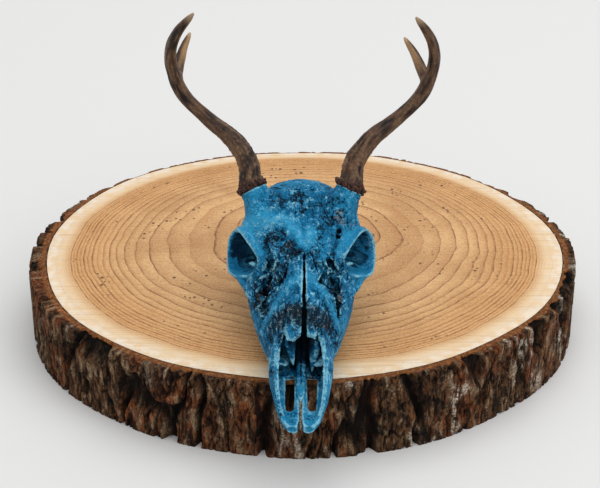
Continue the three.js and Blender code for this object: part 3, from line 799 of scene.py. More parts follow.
def openness(points, normals):
    """Share of the directions on the outer side in which nothing stands within 45 mm."""
    seen = np.zeros(len(points))
    total = np.zeros(len(points))
    start = points + 1.6 * normals
    for direction in directions:
        weight = np.clip(normals @ direction, 0, 1)
        clear = np.ones(len(points), bool)
        for reach in (1.5, 3.5, 6, 9, 13, 18, 24, 32, 45):
            spot = np.round((start + reach * direction) / CELL).astype(int) - skull.low
            spot = np.clip(spot, 0, np.array(skull.values.shape) - 1)
            clear &= skull.values[spot[:, 0], spot[:, 1], spot[:, 2]] > 0
        seen += weight * clear
        total += weight
    return seen / np.maximum(total, 1e-6)


print("directions looked along", len(directions))

# %% [markdown]
# The skull isn't porous, cracked or thickly painted everywhere. The spots where it is porous or
# smooth are given by their middle, half sizes and strength, seen from above, and the ridges,
# seams and grooves by lines through points (x, y).

# %% Places on the skull
PATCHES = [(-18, 142, 11, 7, 0.9), (-9, 128, 8, 9, 0.9), (-15, 170, 7, 9, 0.6), (2, 170, 8, 9, 0.3),
           (22, 166, 10, 10, 0.4), (14, 145, 10, 11, 0.4), (-14, 111, 8, 12, 0.7), (12, 118, 7, 9, 0.35),
           (-15, 96, 7, 6, 0.6), (19, 92, 6, 7, 0.5), (0, 75, 21, 8, 1), (-24, 74, 8, 9, 0.7),
           (24, 78, 7, 8, 0.7), (0, 205, 22, 9, 0.4), (-34, 108, 8, 16, 0.7), (-23, 115, 7, 14, 1),
           (23, 115, 7, 13, 0.9), (-28, 100, 4, 12, 0.9), (28, 100, 4, 12, 0.9)]
BAND_LINE = [(-43, 163), (-25, 157), (-15, 156), (-8, 151), (-3, 141), (2, 132), (6, 136), (8, 143)]
CHEEK_LINES = [[(-31, 84), (-21, 89), (-11, 97), (-1, 104)], [(4, 106), (14, 99), (24, 91), (31, 84)]]
SEAMS = [[(1, 126), (1, 150), (0, 176), (0, 183)], [(0, 186), (0, 214)]]
BROW_GROOVES = [[(-23, 145), (-26, 137), (-22, 128)], [(28, 152), (27, 139), (22, 128)]]
BROW_EDGES = [[(-46, 161), (-36, 150), (-29, 136)], [(46, 161), (36, 150), (29, 136)]]
SMOOTH_SPOTS = [(-37, 178, 9, 14, 1), (37, 178, 8, 14, 0.8), (32, 154, 8, 12, 0.6), (-34, 160, 8, 10, 0.7),
                (46, 140, 10, 10, 0.6), (-46, 140, 10, 10, 0.4), (16, 128, 8, 8, 0.5), (0, 222, 30, 14, 0.7),
                (-36, 96, 6, 12, 0.4), (34, 92, 7, 14, 0.6), (0, 196, 22, 9, 0.6)]


def spots(points, places):
    """Soft round spots (x, y, half wide, half long, strength) seen from above, the largest kept."""
    x, y = points[:, 0], points[:, 1]
    total = np.zeros(len(points))
    for at_x, at_y, wide, long, strength in places:
        away = ((x - at_x) / wide) ** 2 + ((y - at_y) / long) ** 2
        total = np.maximum(total, strength * np.exp(-away))
    return total


def near_path(points, path):
    """Distance seen from above to a line through points (x, y)."""
    xy = points[:, :2]
    best = np.full(len(points), 1e9)
    for a, b in zip(np.array(path[:-1], float), np.array(path[1:], float)):
        t = np.clip((xy - a) @ (b - a) / ((b - a) @ (b - a)), 0, 1)
        best = np.minimum(best, np.linalg.norm(xy - a - t[:, None] * (b - a), axis=1))
    return best


print("porous spots", len(PATCHES), "smooth spots", len(SMOOTH_SPOTS))

# %% [markdown]
# The relief of the bone is worked out from place alone: lengthwise striae, pits where the bone is
# porous, crackled and flaked paint and a few low ridges. Every amount that a form is multiplied
# by is its depth in millimetres. The same forms say where grime lies and where bone shows, and how
# high each point stands, which the finish draws as a painted highlight on the rises and a painted
# shade in the dips.

# %% Relief of old bone
def bone_relief(points):
    """Height in millimetres, and how grimy, high, bare, thickly painted and near an orbit's middle
    each point is, from 0 to 1."""
    x, y, z = points.T
    bent = points + 1.8 * np.stack([noise(points, 7, n) for n in (1, 2, 3)], -1)
    upper = step(z, 25, 45)
    band = np.exp(-(near_path(bent, BAND_LINE) / 4.6) ** 2) * upper
    cheek = sum(np.exp(-(near_path(bent, line) / 3.6) ** 2) for line in CHEEK_LINES) * upper
    brow = sum(np.exp(-(near_path(bent, line) / 3.4) ** 2) for line in BROW_EDGES) * upper
    thick = np.clip(band + 0.75 * cheek + 0.6 * brow + 0.5 * step(50 - y, 0, 12)
                    + spots(bent, SMOOTH_SPOTS), 0, 1)
    porous = spots(bent, PATCHES) * upper + 0.55 * step(layered(points, 16, 3, 4), 0.25, 0.8)
    from_eye = np.stack([np.abs(x), y, z], -1) - orbit_middle
    eye = 1 - step(np.linalg.norm(from_eye, axis=1), 16, 23)
    streaky = np.exp(-((y - 72 - 0.3 * np.abs(x)) / 11) ** 2) * upper * step(26 - np.abs(x), 0, 4)
    porous = np.clip(porous, 0, 1) * (1 - 0.9 * band) * (1 - eye) * (1 - 0.6 * streaky)
    pits = porous * step(0.46 - cells(bent, 2.3)[0], 0, 0.3)
    first, second = cells(bent, (4.4, 5.6, 4.4), 2)
    crackle = (0.3 + 0.7 * porous) * (1 - step(second - first, 0.02, 0.16))
    worm = (0.25 + 0.75 * porous) * step(1 - np.abs(layered(bent, (5, 9, 5), 3, 5)), 0.86, 0.98)
    flaked = porous * step(layered(bent, (5, 7, 5), 3, 15), -0.05, 0.12)
    stria = noise(bent, (1.4, 11, 1.4), 6) * step(130 - y, 0, 20)
    strand = step(1 - np.abs(layered(bent, (3.4, 8, 3.4), 3, 17)), 0.78, 1) * (1 - 0.7 * thick)
    seam = sum(np.exp(-(near_path(bent, line) / 0.75) ** 2) for line in SEAMS) * upper
    groove = sum(np.exp(-(near_path(bent, line) / 2) ** 2) for line in BROW_GROOVES) * upper
    lines = step(noise(bent, (1.1, 16, 1.4), 16), -0.35, 0.35)
    fine = (0.45 * layered(points, 3.8, 2, 9) - 0.6 * pits - 0.4 * crackle - 0.5 * worm + 0.14 * stria
            - 0.35 * flaked - 0.3 * groove + 0.5 * strand + 0.4 * streaky * (lines - 0.5)
            ) * (1 - 0.6 * thick) * (1 - 0.75 * eye)
    broad = (0.55 * layered(points, (15, 19, 15), 2, 8) + 0.8 * cheek + 0.7 * band + 0.5 * brow
             - 0.2 * seam - 0.7 * groove)
    height = (fine + broad) * (1 - 0.35 * step(60 - y, 0, 20)) * step(z, 4, 13)
    grime = (0.8 * pits + 0.4 * crackle + 0.7 * worm + 0.3 * seam + 0.3 * porous + 0.3 * groove
             + 0.2 * step(layered(points, 11, 3, 14), -0.1, 0.6)) * (1 - 0.8 * thick) * (1 - eye)
    grime = grime + streaky * (0.62 - 0.36 * lines) * (1 - thick)
    # The finish paints a highlight where this is high and a shade where it is low.
    high = 0.49 + 0.58 * fine + 0.12 * broad
    bare = porous * step(layered(points, 6, 3, 12), -0.15, 0.5) + 0.7 * streaky * lines * (1 - thick)
    return height, grime, high, bare, thick, eye


def bone_marks(points, normals, close, grime, high, bare, thick, eye):
    """What the relief gives, joined with how enclosed the point is and how much it sticks out. The
    inside of the nose, below the nose bones and above the palate, counts as deep throughout."""
    # Painted shade: deep is how shut in a point is, and the finish darkens it by that.
    deep = step(1 - openness(points, normals), 0.34, 0.92)
    x, y, z = points.T
    drop = (2.6 + 0.02 * y) * np.clip(np.abs(x) / nose_half(y), 0, 1.3)
    under = step(top_line(y) - drop - z, 2.6, 4) * step(z - palate(y), 1, 3)
    inside = under * step(y, 56, 64) * step(124 - y, 0, 6) * step(nose_half(y) + 1 - np.abs(x), 0, 2)
    deep = np.maximum(deep, inside)
    # Painted highlight: edge is how much a point sticks out, and it raises high, which the finish paints
    # pale.
    edge = step(0.5 - close, 0.06, 0.24) * (1 - 0.8 * deep)
    # Grime also grows where the point is enclosed, so hollows are drawn darker.
    return {"grime": np.clip(grime + 0.85 * step(close, 0.54, 0.8) * (1 - 0.5 * thick), 0, 1),
            "deep": deep, "high": np.clip(high + 0.66 * edge, 0, 1), "bare": np.clip(bare, 0, 1),
            "thick": thick * (1 - deep), "eye": eye * step(deep, 0, 0.2)}


print("marks", list(bone_marks(*np.ones((2, 1, 3)), *np.ones((6, 1)))))

# %% [markdown]
# Each bone is what its region holds of the skull, and the rest is cut back from it by the width
# of the suture. The regions' distances are shaken by noise first, so that sutures run in small
# waves. What is left is the cranium, parted again where the frontal bone meets the braincase, so
# that no piece grows too heavy.

# %% Part the bones
GAP = 0.3
SUTURE = 0.05
REACH = 80


def face_regions():
    """Each pair of face bones with the distances to its regions, in the order of parting. The
    nose bones meet a little beside the middle of the skull."""
    x = skull.axes()[0]
    premaxilla = side_region(skull, [
        (-REACH, -20), (54, -20), (56, 12), (71, 42), (73, 47), (73, 51), (60, 46.2),
        (NOSE_TIP - 4, 44), (-REACH, 44)], 0, REACH) + shake
    yield "premaxilla", premaxilla, mirror_region(skull, premaxilla)
    side = [(float(nose_half(53)) + 2, 40), (float(nose_half(70)) + 0.6, 70),
            (float(nose_half(90)) + 0.6, 90), (13.2, 106), (8, NASION - 3)]
    nose = top_region(skull, side + [(0, NASION)] + [(-u, v) for u, v in side[::-1]], 30, 100)
    nose = nose + shake * (np.abs(x) > 5)
    yield "nasal", np.maximum(nose, MIDDLE - x), np.maximum(nose, x - MIDDLE)
    maxilla = side_region(skull, [(20, -20), (156, -20), (156, 24), (131, 31), (119, 40), (108, 52),
                                  (102, 76), (40, 76)], 0, REACH) + shake
    yield "maxilla", maxilla, mirror_region(skull, maxilla)
    cheekbone = side_region(skull, [(118, 25), (184, 25), (178, 54), (170, 57), (152, 55),
                                    (118, 52)], 33, REACH) + shake
    yield "cheekbone", cheekbone, mirror_region(skull, cheekbone)


def waves():
    """Slow noise over the block, in millimetres, that shakes the sutures."""
    x, y, z = (axis[tuple(slice(None, None, 2) for _ in range(3))] for axis in skull.axes())
    spot = np.stack(np.broadcast_arrays(x, y, z), -1).astype(np.float32)
    coarse = (1.3 * noise(spot, 4.6, 20) + 1.2 * noise(spot, 13, 21)).astype(np.float32)
    fine = coarse.repeat(2, 0).repeat(2, 1).repeat(2, 2)
    return blurred(fine[tuple(slice(n) for n in skull.values.shape)], 1)


bones = {}
rest = skull.values
x, y, z = skull.axes()
shake = waves() * (np.abs(x) > 2)
for bone, left, right in face_regions():
    bones[f"{bone}_left"] = np.maximum(rest, left)
    bones[f"{bone}_right"] = np.maximum(rest, right)
    rest = np.maximum(rest, SUTURE - np.minimum(left, right))
suture_z = smooth((100, 36), (140, 42), (165, 52), (182, 60), (203, 66))
frontal = np.maximum(y - 183 - 14 * step(np.abs(x), 12, 28), suture_z(y) - z) + shake
bones["frontal"] = np.maximum(rest, frontal)
bones["braincase"] = np.maximum(rest, SUTURE - frontal)
print("bones", len(bones))

# %% [markdown]
# Each bone's surface is drawn from its own distances, only in the part of the block that holds it.
# Its marks are worked out on the smooth surface, and then its points move along their normals by
# the relief.

# %% Make the bones
def inside_box(values):
    """Part of the block that holds the surface, with room round it."""
    inside = values < CELL
    return tuple(slice(max(0, line.min() - 2), line.max() + 3)
                 for line in (np.nonzero(inside.any(axis=other))[0]
                              for other in ((1, 2), (0, 2), (0, 1))))


painted = []
for name, values in bones.items():
    box = inside_box(values)
    points, quads = surface_of(skull.low + [part.start for part in box], values[box])
    normals = normals_of(points, quads)
    height, *looks = bone_relief(points)
    close = sampled(skull.low, near_share, points)
    marks = bone_marks(points, normals, close, *looks)
    points += height[:, None] * normals
    stands_for = [name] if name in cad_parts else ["cranium"]
    painted.append(add_mesh(name, set_down(points), quads, stands_for, marks))

# %% [markdown]
# Inside the nose a grooved bar runs along the middle, and a thin scroll of bone hangs from each
# nose bone and ends in a drooping tip. They are tubes whose radius changes round them.

# %% Bar and scrolls of the nose
def dent(angle, at, wide):
    """Bell curve round an angle, which pinches a tube there."""
    return np.exp(-(((angle - at) / wide) ** 2))


def nose_bar():
    """Bar whose half width, underside and top are curves along it, with a groove on top."""
    y = np.linspace(29, 110, 90)[:, None]
    angle = np.linspace(0, 2 * np.pi, 40, endpoint=False)[None, :]
    half = smooth((29, 1.2), (38, 3.2), (46, 3.7), (70, 3.6), (110, 2.4))(y)
    low = smooth((29, 12.5), (60, 17), (75, 19.5), (110, 21))(y)
    high = smooth((29, 13.8), (38, 16.6), (60, 22.5), (75, 30), (110, 42))(y)
    mid, tall = (high + low) / 2, (high - low) / 2
    groove = 1 - 0.5 * dent(angle, np.pi / 2, 0.28)
    return stacked(np.stack(np.broadcast_arrays(
        half * np.cos(angle), y, mid + tall * np.sin(angle) * groove), -1))


def leaf():
    """Thin leaf that hangs down to a point on the animal's right."""
    points = [(5.6, 56.6, 23), (6.2, 58.5, 29), (7.4, 62, 36), (8.6, 72, 43), (9.5, 96, 48)]
    wide = smooth((0, 0.5), (0.18, 2.5), (0.4, 4.7), (0.7, 4.6), (1, 4))
    return tube(points, lambda t, a: wide(t) * (1 - 0.58 * np.sin(a) ** 2) * (1 - 0.25 * dent(a, 2.4, 0.4)),
                44, 110)


def curl():
    """Scroll rolled in on itself, with a drooping tip, on the animal's left."""
    points = [(8, 57, 17), (8.6, 58, 24), (10, 62, 32), (10.4, 74, 41), (10.5, 98, 48)]
    wide = smooth((0, 0.6), (0.18, 2.6), (0.4, 4.6), (0.7, 5), (1, 4.5))
    return tube(points, lambda t, a: wide(t) * (1 - 0.3 * np.sin(a) ** 2 - 0.4 * dent(a, 1.9, 0.32)
                                                - 0.25 * dent(a, 3.6, 0.3)), 60, 110)


inner_pieces = [("nose_bar", nose_bar(), 1, (-8, 26, 8), (8, 114, 48)),
                ("scroll_left", curl(), 1, (-1.5, 30, 8), (22, 112, 58)),
                ("scroll_right", leaf(), -1, (-1.5, 30, 8), (22, 112, 58))]
for name, surface, flip, low, high in inner_pieces:
    clay = Clay(low, high)
    clay.add(surface)
    points, quads = surface_of(clay.low, clay.values)
    height, *looks = bone_relief(points)
    close = sampled(clay.low, nearness(clay.values), points)
    normals = normals_of(points, quads)
    points = (points + 0.4 * height[:, None] * normals) * (flip, 1, 1)
    # The bar and scrolls count as more enclosed than they are, which draws them darker as a painted shade
    # inside the nose, with less painted highlight on their edges.
    marks = bone_marks(points, normals * (flip, 1, 1), close + 0.1, *looks)
    painted.append(add_mesh(name, set_down(points), quads[:, ::flip], [name],
                            marks))

# %% [markdown]
# An antler is bone too: a beam that curves out, up and forward, with a shorter tine behind its
# fork. Its foot is a ragged collar of small knobs. Tubes and knobs melt together in a block of
# their own, one for each side, because the two antlers bow a little differently.

# %% Forms of an antler
FORK = 0.53
beam_taper = smooth((0, 9.4), (0.05, 8.2), (0.2, 7.1), (0.33, 5.7), (0.44, 5.1), (FORK, 5.4),
                    (0.62, 4.9), (0.85, 3.8), (0.96, 2.4), (1, 0.9))
tine_taper = smooth((0, 4.6), (0.3, 4.2), (0.7, 3), (0.93, 1.7), (1, 0.7))


def beam_points(bow, tip):
    """Points on the beam's middle line. It bows out by so much once clear of the burr."""
    out = [(39.8, 195, 107), (49.5, 203.5, 120.6), (72, 213.7, 136.8), (88, 217.4, 154),
           (95.5, 216.4, 178), (95, 211.5, 197), (89.5, 206, 213)]
    bowed = [(x + bow * min(1, (x - burr_middle[0]) / 20), y, z) for x, y, z in out]
    return [tuple(burr_middle + 1.6 * stalk_way), *bowed, tip]


def knobs(seed):
    """Small lumps in three staggered rows round the burr."""
    dice = np.random.default_rng(seed)
    side = np.cross((0, 1, 0), stalk_way)
    side /= np.linalg.norm(side)
    top = np.cross(stalk_way, side)
    made = []
    for row, (lift, reach, count) in enumerate([(-1.6, 10.3, 22), (0.4, 11, 25), (2.6, 9.2, 18)]):
        for n in range(count):
            angle = 2 * np.pi * (n + 0.5 * row + 0.5 * dice.random()) / count
            away = reach + dice.uniform(-0.9, 0.8)
            spot = (burr_middle + (lift + dice.uniform(-0.7, 0.7)) * stalk_way
                    + away * (np.cos(angle) * side + np.sin(angle) * top))
            made.append(lump(spot, dice.uniform(0.9, 1.75, 3)))
    return made


def antler_clay(beam, tine, seed):
    """Block in which the beam, the tine, the collar and its knobs have melted together."""
    clay = Clay((18, 164, 74), (112, 256, 246))
    clay.add(tube(beam, lambda t, a: beam_taper(t) + 0 * a, 48, 240))
    clay.add(tube(tine, lambda t, a: tine_taper(t) + 0 * a, 36, 90), soft=2.2)
    foot = [burr_middle - 2.4 * stalk_way, burr_middle + 4.2 * stalk_way]
    collar = smooth((0, 8.4), (0.25, 10.2), (0.5, 9.8), (1, 8))
    clay.add(tube(foot, lambda t, a: collar(t) + 0 * a, 60, 24), soft=1.5)
    clay.add(*knobs(seed), soft=0.7)
    return clay


print("knobs round a burr", len(knobs(0)))

# %% [markdown]
# Antler grows in long grooves with small pearls between them near the foot. So each point first
# finds how far along the beam or the tine it lies, by the nearest point on its middle line. The
# animal's right antler is made on the left and mirrored.

# %% Antlers
def nearest_on(path, points):
    """Index of the nearest of a path's points, found by one pass over the path."""
    best = np.full(len(points), 1e9)
    index = np.zeros(len(points), int)
    for n, place in enumerate(path):
        away = ((points - place) ** 2).sum(1)
        closer = away < best
        best[closer], index[closer] = away[closer], n
    return index, np.sqrt(best)


def antler(side, bow, tip, tine_tip, seed):
    """One antler: its block's surface, moved along the normals by grooves and pearls."""
    points = beam_points(bow, tip)
    path, _ = along_curve(points, 240)
    root = along_curve(points, 1001)[0][int(1000 * (FORK + 0.05))]
    lean = np.array(tine_tip) - root
    tine = [tuple(root), tuple(root + 0.34 * lean + (1.5, 0.5, -1.5)),
            tuple(root + 0.68 * lean + (1.8, 0.5, -1)), tine_tip]
    clay = antler_clay(points, tine, seed)
    points, quads = surface_of(clay.low, clay.values)
    tine_path, _ = along_curve(tine, 90)
    index, away = nearest_on(path, points)
    tine_index, tine_away = nearest_on(tine_path, points)
    on_tine = tine_away < away
    way = np.where(on_tine, 0.6 + 0.4 * tine_index / 89, index / 239)
    foot_share = 1 - step(way, 0.02, 0.42)
    normal = normals_of(points, quads)
    fibre = np.stack([5 * normal[:, 0], 5 * normal[:, 1], way * 30], -1)
    groove = layered(fibre + 0.15 * points, (1.5, 1.5, 3.2), 2, seed)
    pearl = step(0.52 - cells(points, (3.2, 3.2, 4.2), seed)[0], 0, 0.4) * foot_share
    tip_share = step(way, 0.86, 1)
    height = (0.55 - 0.38 * tip_share) * groove * (0.35 + 0.65 * foot_share) + 0.55 * pearl
    points = points + (height * (1 - 0.8 * tip_share))[:, None] * normal
    if side == "right":
        points, quads = points * (-1, 1, 1), quads[:, ::-1]
    marks = {"ridge": 0.5 + 0.5 * groove + 0.4 * pearl, "way": way,
             "burr": 1 - step(way, 0.0, 0.035),
             "tan": on_tine * step(tine_index / 89, 0.15, 0.6) * step(-normal[:, 0], -0.5, 0.5)}
    names = [f"antler_{part}_{side}" for part in ("beam", "prong", "tine")]
    return add_mesh(f"antler_{side}", set_down(points), quads, names, marks)


antlers = [antler("left", 2.6, (82.6, 199.7, 229.3), (77.6, 247.1, 185.9), 31),
           antler("right", 0.4, (76.9, 198, 233.5), (83.1, 247.4, 190), 47)]
print("antlers", len(antlers))

# %% [markdown]
# The bark is one closed band round the slice: a profile in radius and height carried round the
# rim. Its outer wall is split by upright furrows into plates, which are flaked in steps and cracked
# again more finely. It is thickest at the picture's left and thin at the back. The packed arcs
# are plainer, and this band stands for all eight.

# %% Forms of the bark
WOOD_WIDE, WOOD_DEEP, SLICE = 210, 175, 65
BARK_THICK = 11.2


def rim(angle):
    """Radius of the wood by angle: an oval with three slow waves."""
    oval = 1 / np.hypot(np.cos(angle) / WOOD_WIDE, np.sin(angle) / WOOD_DEEP)
    return oval * (1 + 0.006 * np.sin(3 * angle + 0.6) + 0.004 * np.sin(5 * angle + 2)
                   + 0.0025 * np.sin(11 * angle))


def terraces(value, count):
    """Value broken into level steps with short slopes, as flakes lie on each other."""
    whole = np.floor(value * count)
    return (whole + step(value * count - whole, 0.3, 0.6)) / count


def furrows(points):
    """Wide and narrow furrows from 0 to 1: where upright noise crosses nought."""
    bent = points + 3.5 * np.stack([noise(points, (14, 14, 18), n) for n in (51, 52, 53)], -1)
    wide = 1 - step(np.abs(layered(bent, (38, 38, 170), 3, 54)), 0.02, 0.19)
    narrow = 1 - step(np.abs(layered(bent, (9, 9, 34), 3, 56)), 0.0, 0.15)
    return wide, narrow


def bark_profile(wall, top):
    """How far out each row lies, 1 on the outer wall and 0 by the wood, and how high, from 0 to 1.
    The rows go up the wall, in over the top, down by the wood and out along the foot."""
    out = np.concatenate([np.ones(wall), np.linspace(1, 0, top + 1)[1:], [0],
                          np.linspace(0, 1, 5)[:-1]])
    rise = np.concatenate([np.linspace(0, 1, wall), np.ones(top), [0], np.zeros(4)])
    return out[:, None], rise[:, None]


def thickness(angle):
    """Thickness of the bark by angle, in millimetres."""
    back = 0.45 * step(np.sin(angle), 0.1, 0.9)
    left = 0.34 * np.exp(-((angle - 3.25) / 0.36) ** 2)
    return BARK_THICK * (1 - back + left)


print("wood", 2 * WOOD_WIDE, "by", 2 * WOOD_DEEP, "mm, bark up to", round(1.34 * BARK_THICK), "mm thick")

# %% [markdown]
# The depth of the bark at each point is its thickness there, less the furrows, plus the flakes and
# the grain. The upper edge is chipped, and the same forms give the marks that the finish reads.

# %% Bark
def bark(around=1840, wall=39, top=8):
    """Closed band: each point lies on the rim, moved out by the bark's depth there."""
    angle = np.linspace(0, 2 * np.pi, around, endpoint=False)[None, :]
    radius = rim(angle)
    out, rise = bark_profile(wall, top)
    at = np.stack(np.broadcast_arrays((radius + 9) * np.cos(angle), (radius + 9) * np.sin(angle),
                                      SLICE * rise), -1)
    wide, narrow = furrows(at)
    bent = at + 1.5 * np.stack([noise(at, 6, n) for n in (64, 65, 66)], -1)
    flakes = terraces(layered(bent, (5, 5, 15), 3, 58), 4)
    grain = layered(bent, (1.9, 1.9, 6), 2, 61)
    thick = thickness(angle)
    plate = flakes * (1.1 + 1.2 * noise(at, (30, 30, 60), 70)) + 0.8 * grain
    depth = np.clip(thick - 0.74 * thick * wide - 2.6 * narrow * (1 - wide) + plate, 1.5, thick)
    chipped = 2.2 * step(layered(at, (7, 7, 9), 2, 63), 0.1, 0.7) + 1.5 * wide
    behind = step(np.sin(angle), 0.1, 0.6)
    chipped = chipped * (1 - 0.6 * behind) + behind * (2 + 1.2 * noise(at, (12, 12, 90), 67))
    on_top, on_foot, on_wall = rise > 0.99, rise < 0.01, out > 0.99
    edge = step(rise, 0.93, 1.0) * on_wall
    depth = depth - edge * (0.8 + 0.9 * np.minimum(chipped, 3))
    reach = GAP + out * (np.maximum(depth, 1.2) - GAP)
    outer = step(out, 0.3, 1)
    high = SLICE * rise - on_top * outer * chipped - edge * chipped
    high = high + on_foot * outer * 2.2 * step(flakes, 0.1, 1.2)
    place = np.stack([(radius + reach) * np.cos(angle), (radius + reach) * np.sin(angle),
                      np.clip(high, 0, SLICE) + 0 * angle], -1)
    skin = (1 - step(reach + 1.2 * flakes, 4.6, 6.4)) * on_top * (out > 0)
    lichen = step(layered(at, (26, 26, 60), 2, 68), 0.05, 0.5) * step(flakes + 0.5 * grain, 0.0, 0.5)
    lichen = lichen * (0.15 + 0.85 * step(np.cos(angle), -0.35, 0.6))
    marks = {"furrow": np.clip(wide + 0.75 * narrow, 0, 1) * np.where(on_top, 0.45, 1),
             "skin": skin, "rough": 0.5 + 0.5 * flakes + 0.3 * grain, "lichen": lichen * (1 - wide),
             "red": step(layered(at, (20, 20, 55), 2, 69), -0.35, 0.3)}
    marks = {name: value.ravel() for name, value in marks.items()}
    names = [f"base_bark_{n}" for n in range(1, 9)]
    return add_mesh("bark", place.reshape(-1, 3), ring_quads(len(rise), around), names, marks)


bark_piece = bark()
print("bark triangles", 2 * len(bark_piece.data.polygons))

# %% [markdown]
# A finish is a small web of nodes. The nodes could be placed one by one, but every layer of colour
# would then take four lines. So a web has short ways to add a node, and a finish also holds the
# colour so far and lays the next one over it by a mask. Patterns read the object's own
# coordinates, in metres, or the numbers that a piece carries at its points.

# %% Helpers for finishes
def shade(red, green, blue):
    """Colour given as it looks on a screen, from 0 to 255, as the linear one that nodes take."""
    values = np.array((red, green, blue)) / 255
    linear = np.where(values < 0.04045, values / 12.92, ((values + 0.055) / 1.055) ** 2.4)
    return (*(float(v) for v in linear), 1.0)


class Web:
    """A tree of shader nodes and short ways to add to it."""

    def __init__(self, tree):
        self.tree = tree

    def add(self, kind, inputs=None, **settings):
        """New node with its settings, and each input joined or given a value."""
        made = self.tree.nodes.new("ShaderNode" + kind)
        for name, value in settings.items():
            setattr(made, name, value)
        for name, value in (inputs or {}).items():
            if isinstance(value, bpy.types.NodeSocket):
                self.tree.links.new(value, made.inputs[name])
            else:
                made.inputs[name].default_value = value
        return made

    def math(self, operation, *values, held=False):
        """Result of a Math node on numbers or sockets, kept between 0 and 1 if it is held."""
        made = self.add("Math", dict(enumerate(values)), operation=operation, use_clamp=held)
        return made.outputs[0]

    def times(self, one, two, held=False):
        """Product of two."""
        return self.math("MULTIPLY", one, two, held=held)

    def less(self, one, two):
        """First less the second."""
        return self.math("SUBTRACT", one, two)

    def eased(self, value, low, high, to_low=0.0, to_high=1.0):
        """Value passed from one range to another by a smooth step."""
        return self.add("MapRange", {0: value, 1: low, 2: high, 3: to_low, 4: to_high},
                        interpolation_type="SMOOTHSTEP").outputs[0]

    def cloud(self, vector, scale, detail, **inputs):
        """Soft noise from 0 to 1."""
        return self.add("TexNoise", {"Vector": vector, "Scale": scale, "Detail": detail,
                                     **inputs}).outputs[0]


print("white is", shade(255, 255, 255))

# %% [markdown]
# The finish itself is a material with one principled shader. It starts with a plain colour, takes
# layer after layer, and at the end joins the colour, roughness and relief to the shader.

# %% A finish
class Finish(Web):
    """Material with a principled shader, the object's coordinates and the colour so far."""

    def __init__(self, name, roughness, specular=0.5):
        self.material = bpy.data.materials.new(name)
        self.material.use_nodes = True
        super().__init__(self.material.node_tree)
        self.shader = self.tree.nodes["Principled BSDF"]
        self.shader.inputs["Roughness"].default_value = roughness
        self.shader.inputs["Specular IOR Level"].default_value = specular
        self.place = self.add("TexCoord").outputs["Object"]
        self.color = None

    def mark(self, name):
        """One of the numbers that a piece carries at its points."""
        return self.add("Attribute", attribute_name=name).outputs["Fac"]

    def group(self, tree, vector=None, **inputs):
        """One of the shared effects, placed with its own values."""
        node = self.add("Group", node_tree=tree)
        self.tree.links.new(self.place if vector is None else vector, node.inputs["Vector"])
        for key, value in inputs.items():
            node.inputs[key].default_value = value
        return node.outputs["Mask"]

    def mottle(self, size, low, high, bend=0.0, vector=None):
        """Mask of soft clouds of a size in millimetres."""
        return self.group(mottle, vector, Size=size, Low=low, High=high, Bend=bend)

    def speckle(self, size, share, reach):
        """Mask of small round specks."""
        return self.group(speckle, Size=size, Share=share, Reach=reach)

    def stretched(self, x=1.0, y=1.0, z=1.0, turn=0.0):
        """Coordinates turned about Z and then stretched, for a pattern that runs one way."""
        return self.add("Mapping", {"Vector": self.place, "Scale": (x, y, z),
                                    "Rotation": (0, 0, turn)}).outputs[0]

    def blend(self, share, first, second):
        """First colour passing into the second by a share. Each is a socket or (r, g, b)."""
        first, second = (shade(*c) if isinstance(c, tuple) else c for c in (first, second))
        return self.add("Mix", {0: share, 6: first, 7: second}, data_type="RGBA").outputs[2]

    def layer(self, share, color):
        """Lay a colour over the colour so far."""
        self.color = self.blend(share, self.color, color)

    def done(self, roughness=None, height=None, depth_mm=0.0):
        """Join the colour, and the roughness and relief if there are any."""
        self.tree.links.new(self.color, self.shader.inputs["Base Color"])
        if roughness is not None:
            self.tree.links.new(roughness, self.shader.inputs["Roughness"])
        bump = self.add("Bump", {"Height": height, "Distance": depth_mm * MM})
        self.tree.links.new(bump.outputs[0], self.shader.inputs["Normal"])
        print(self.material.name, len(self.tree.nodes), "nodes")


print("a finish can", [name for name in vars(Finish) if name[0] != "_"])

# %% [markdown]
# Bone, antler, wood and bark are all mottled and some have small specks, so these two effects are
# node groups, built once and given their own sizes, in millimetres, in each material.

# %% Shared effects
def new_group(name, **sockets):
    """Empty node group with a Vector input, named number inputs and a Mask to put out."""
    tree = bpy.data.node_groups.new(name, "ShaderNodeTree")
    tree.interface.new_socket("Vector", in_out="INPUT", socket_type="NodeSocketVector")
    for key, value in sockets.items():
        made = tree.interface.new_socket(key, in_out="INPUT", socket_type="NodeSocketFloat")
        made.default_value = value
    tree.interface.new_socket("Mask", in_out="OUTPUT", socket_type="NodeSocketFloat")
    given = tree.nodes.new("NodeGroupOutput").inputs["Mask"]
    return tree, Web(tree), tree.nodes.new("NodeGroupInput").outputs, given


mottle, web, held, given = new_group("mottle", Size=5.0, Low=0.4, High=0.6, Bend=0.0)
scale = web.math("DIVIDE", 1000.0, held["Size"])
cloud = web.cloud(held["Vector"], scale, 4.0, Roughness=0.6, Distortion=held["Bend"])
mottle.links.new(web.eased(cloud, held["Low"], held["High"]), given)

speckle, web, held, given = new_group("speckle", Size=3.0, Share=0.5, Reach=0.3)
scale = web.math("DIVIDE", 1000.0, held["Size"])
dots = web.add("TexVoronoi", {"Vector": held["Vector"], "Scale": scale}).outputs
chosen = web.add("SeparateColor", {0: dots["Color"]}).outputs
wanted = web.math("LESS_THAN", chosen[0], held["Share"])
size = web.times(held["Reach"], web.math("ADD", chosen[1], 0.4))
near = web.math("SUBTRACT", 1.0, web.math("DIVIDE", dots["Distance"], size), held=True)
speckle.links.new(web.times(web.eased(near, 0.0, 0.5), wanted), given)
print("node groups", [group.name for group in bpy.data.node_groups])
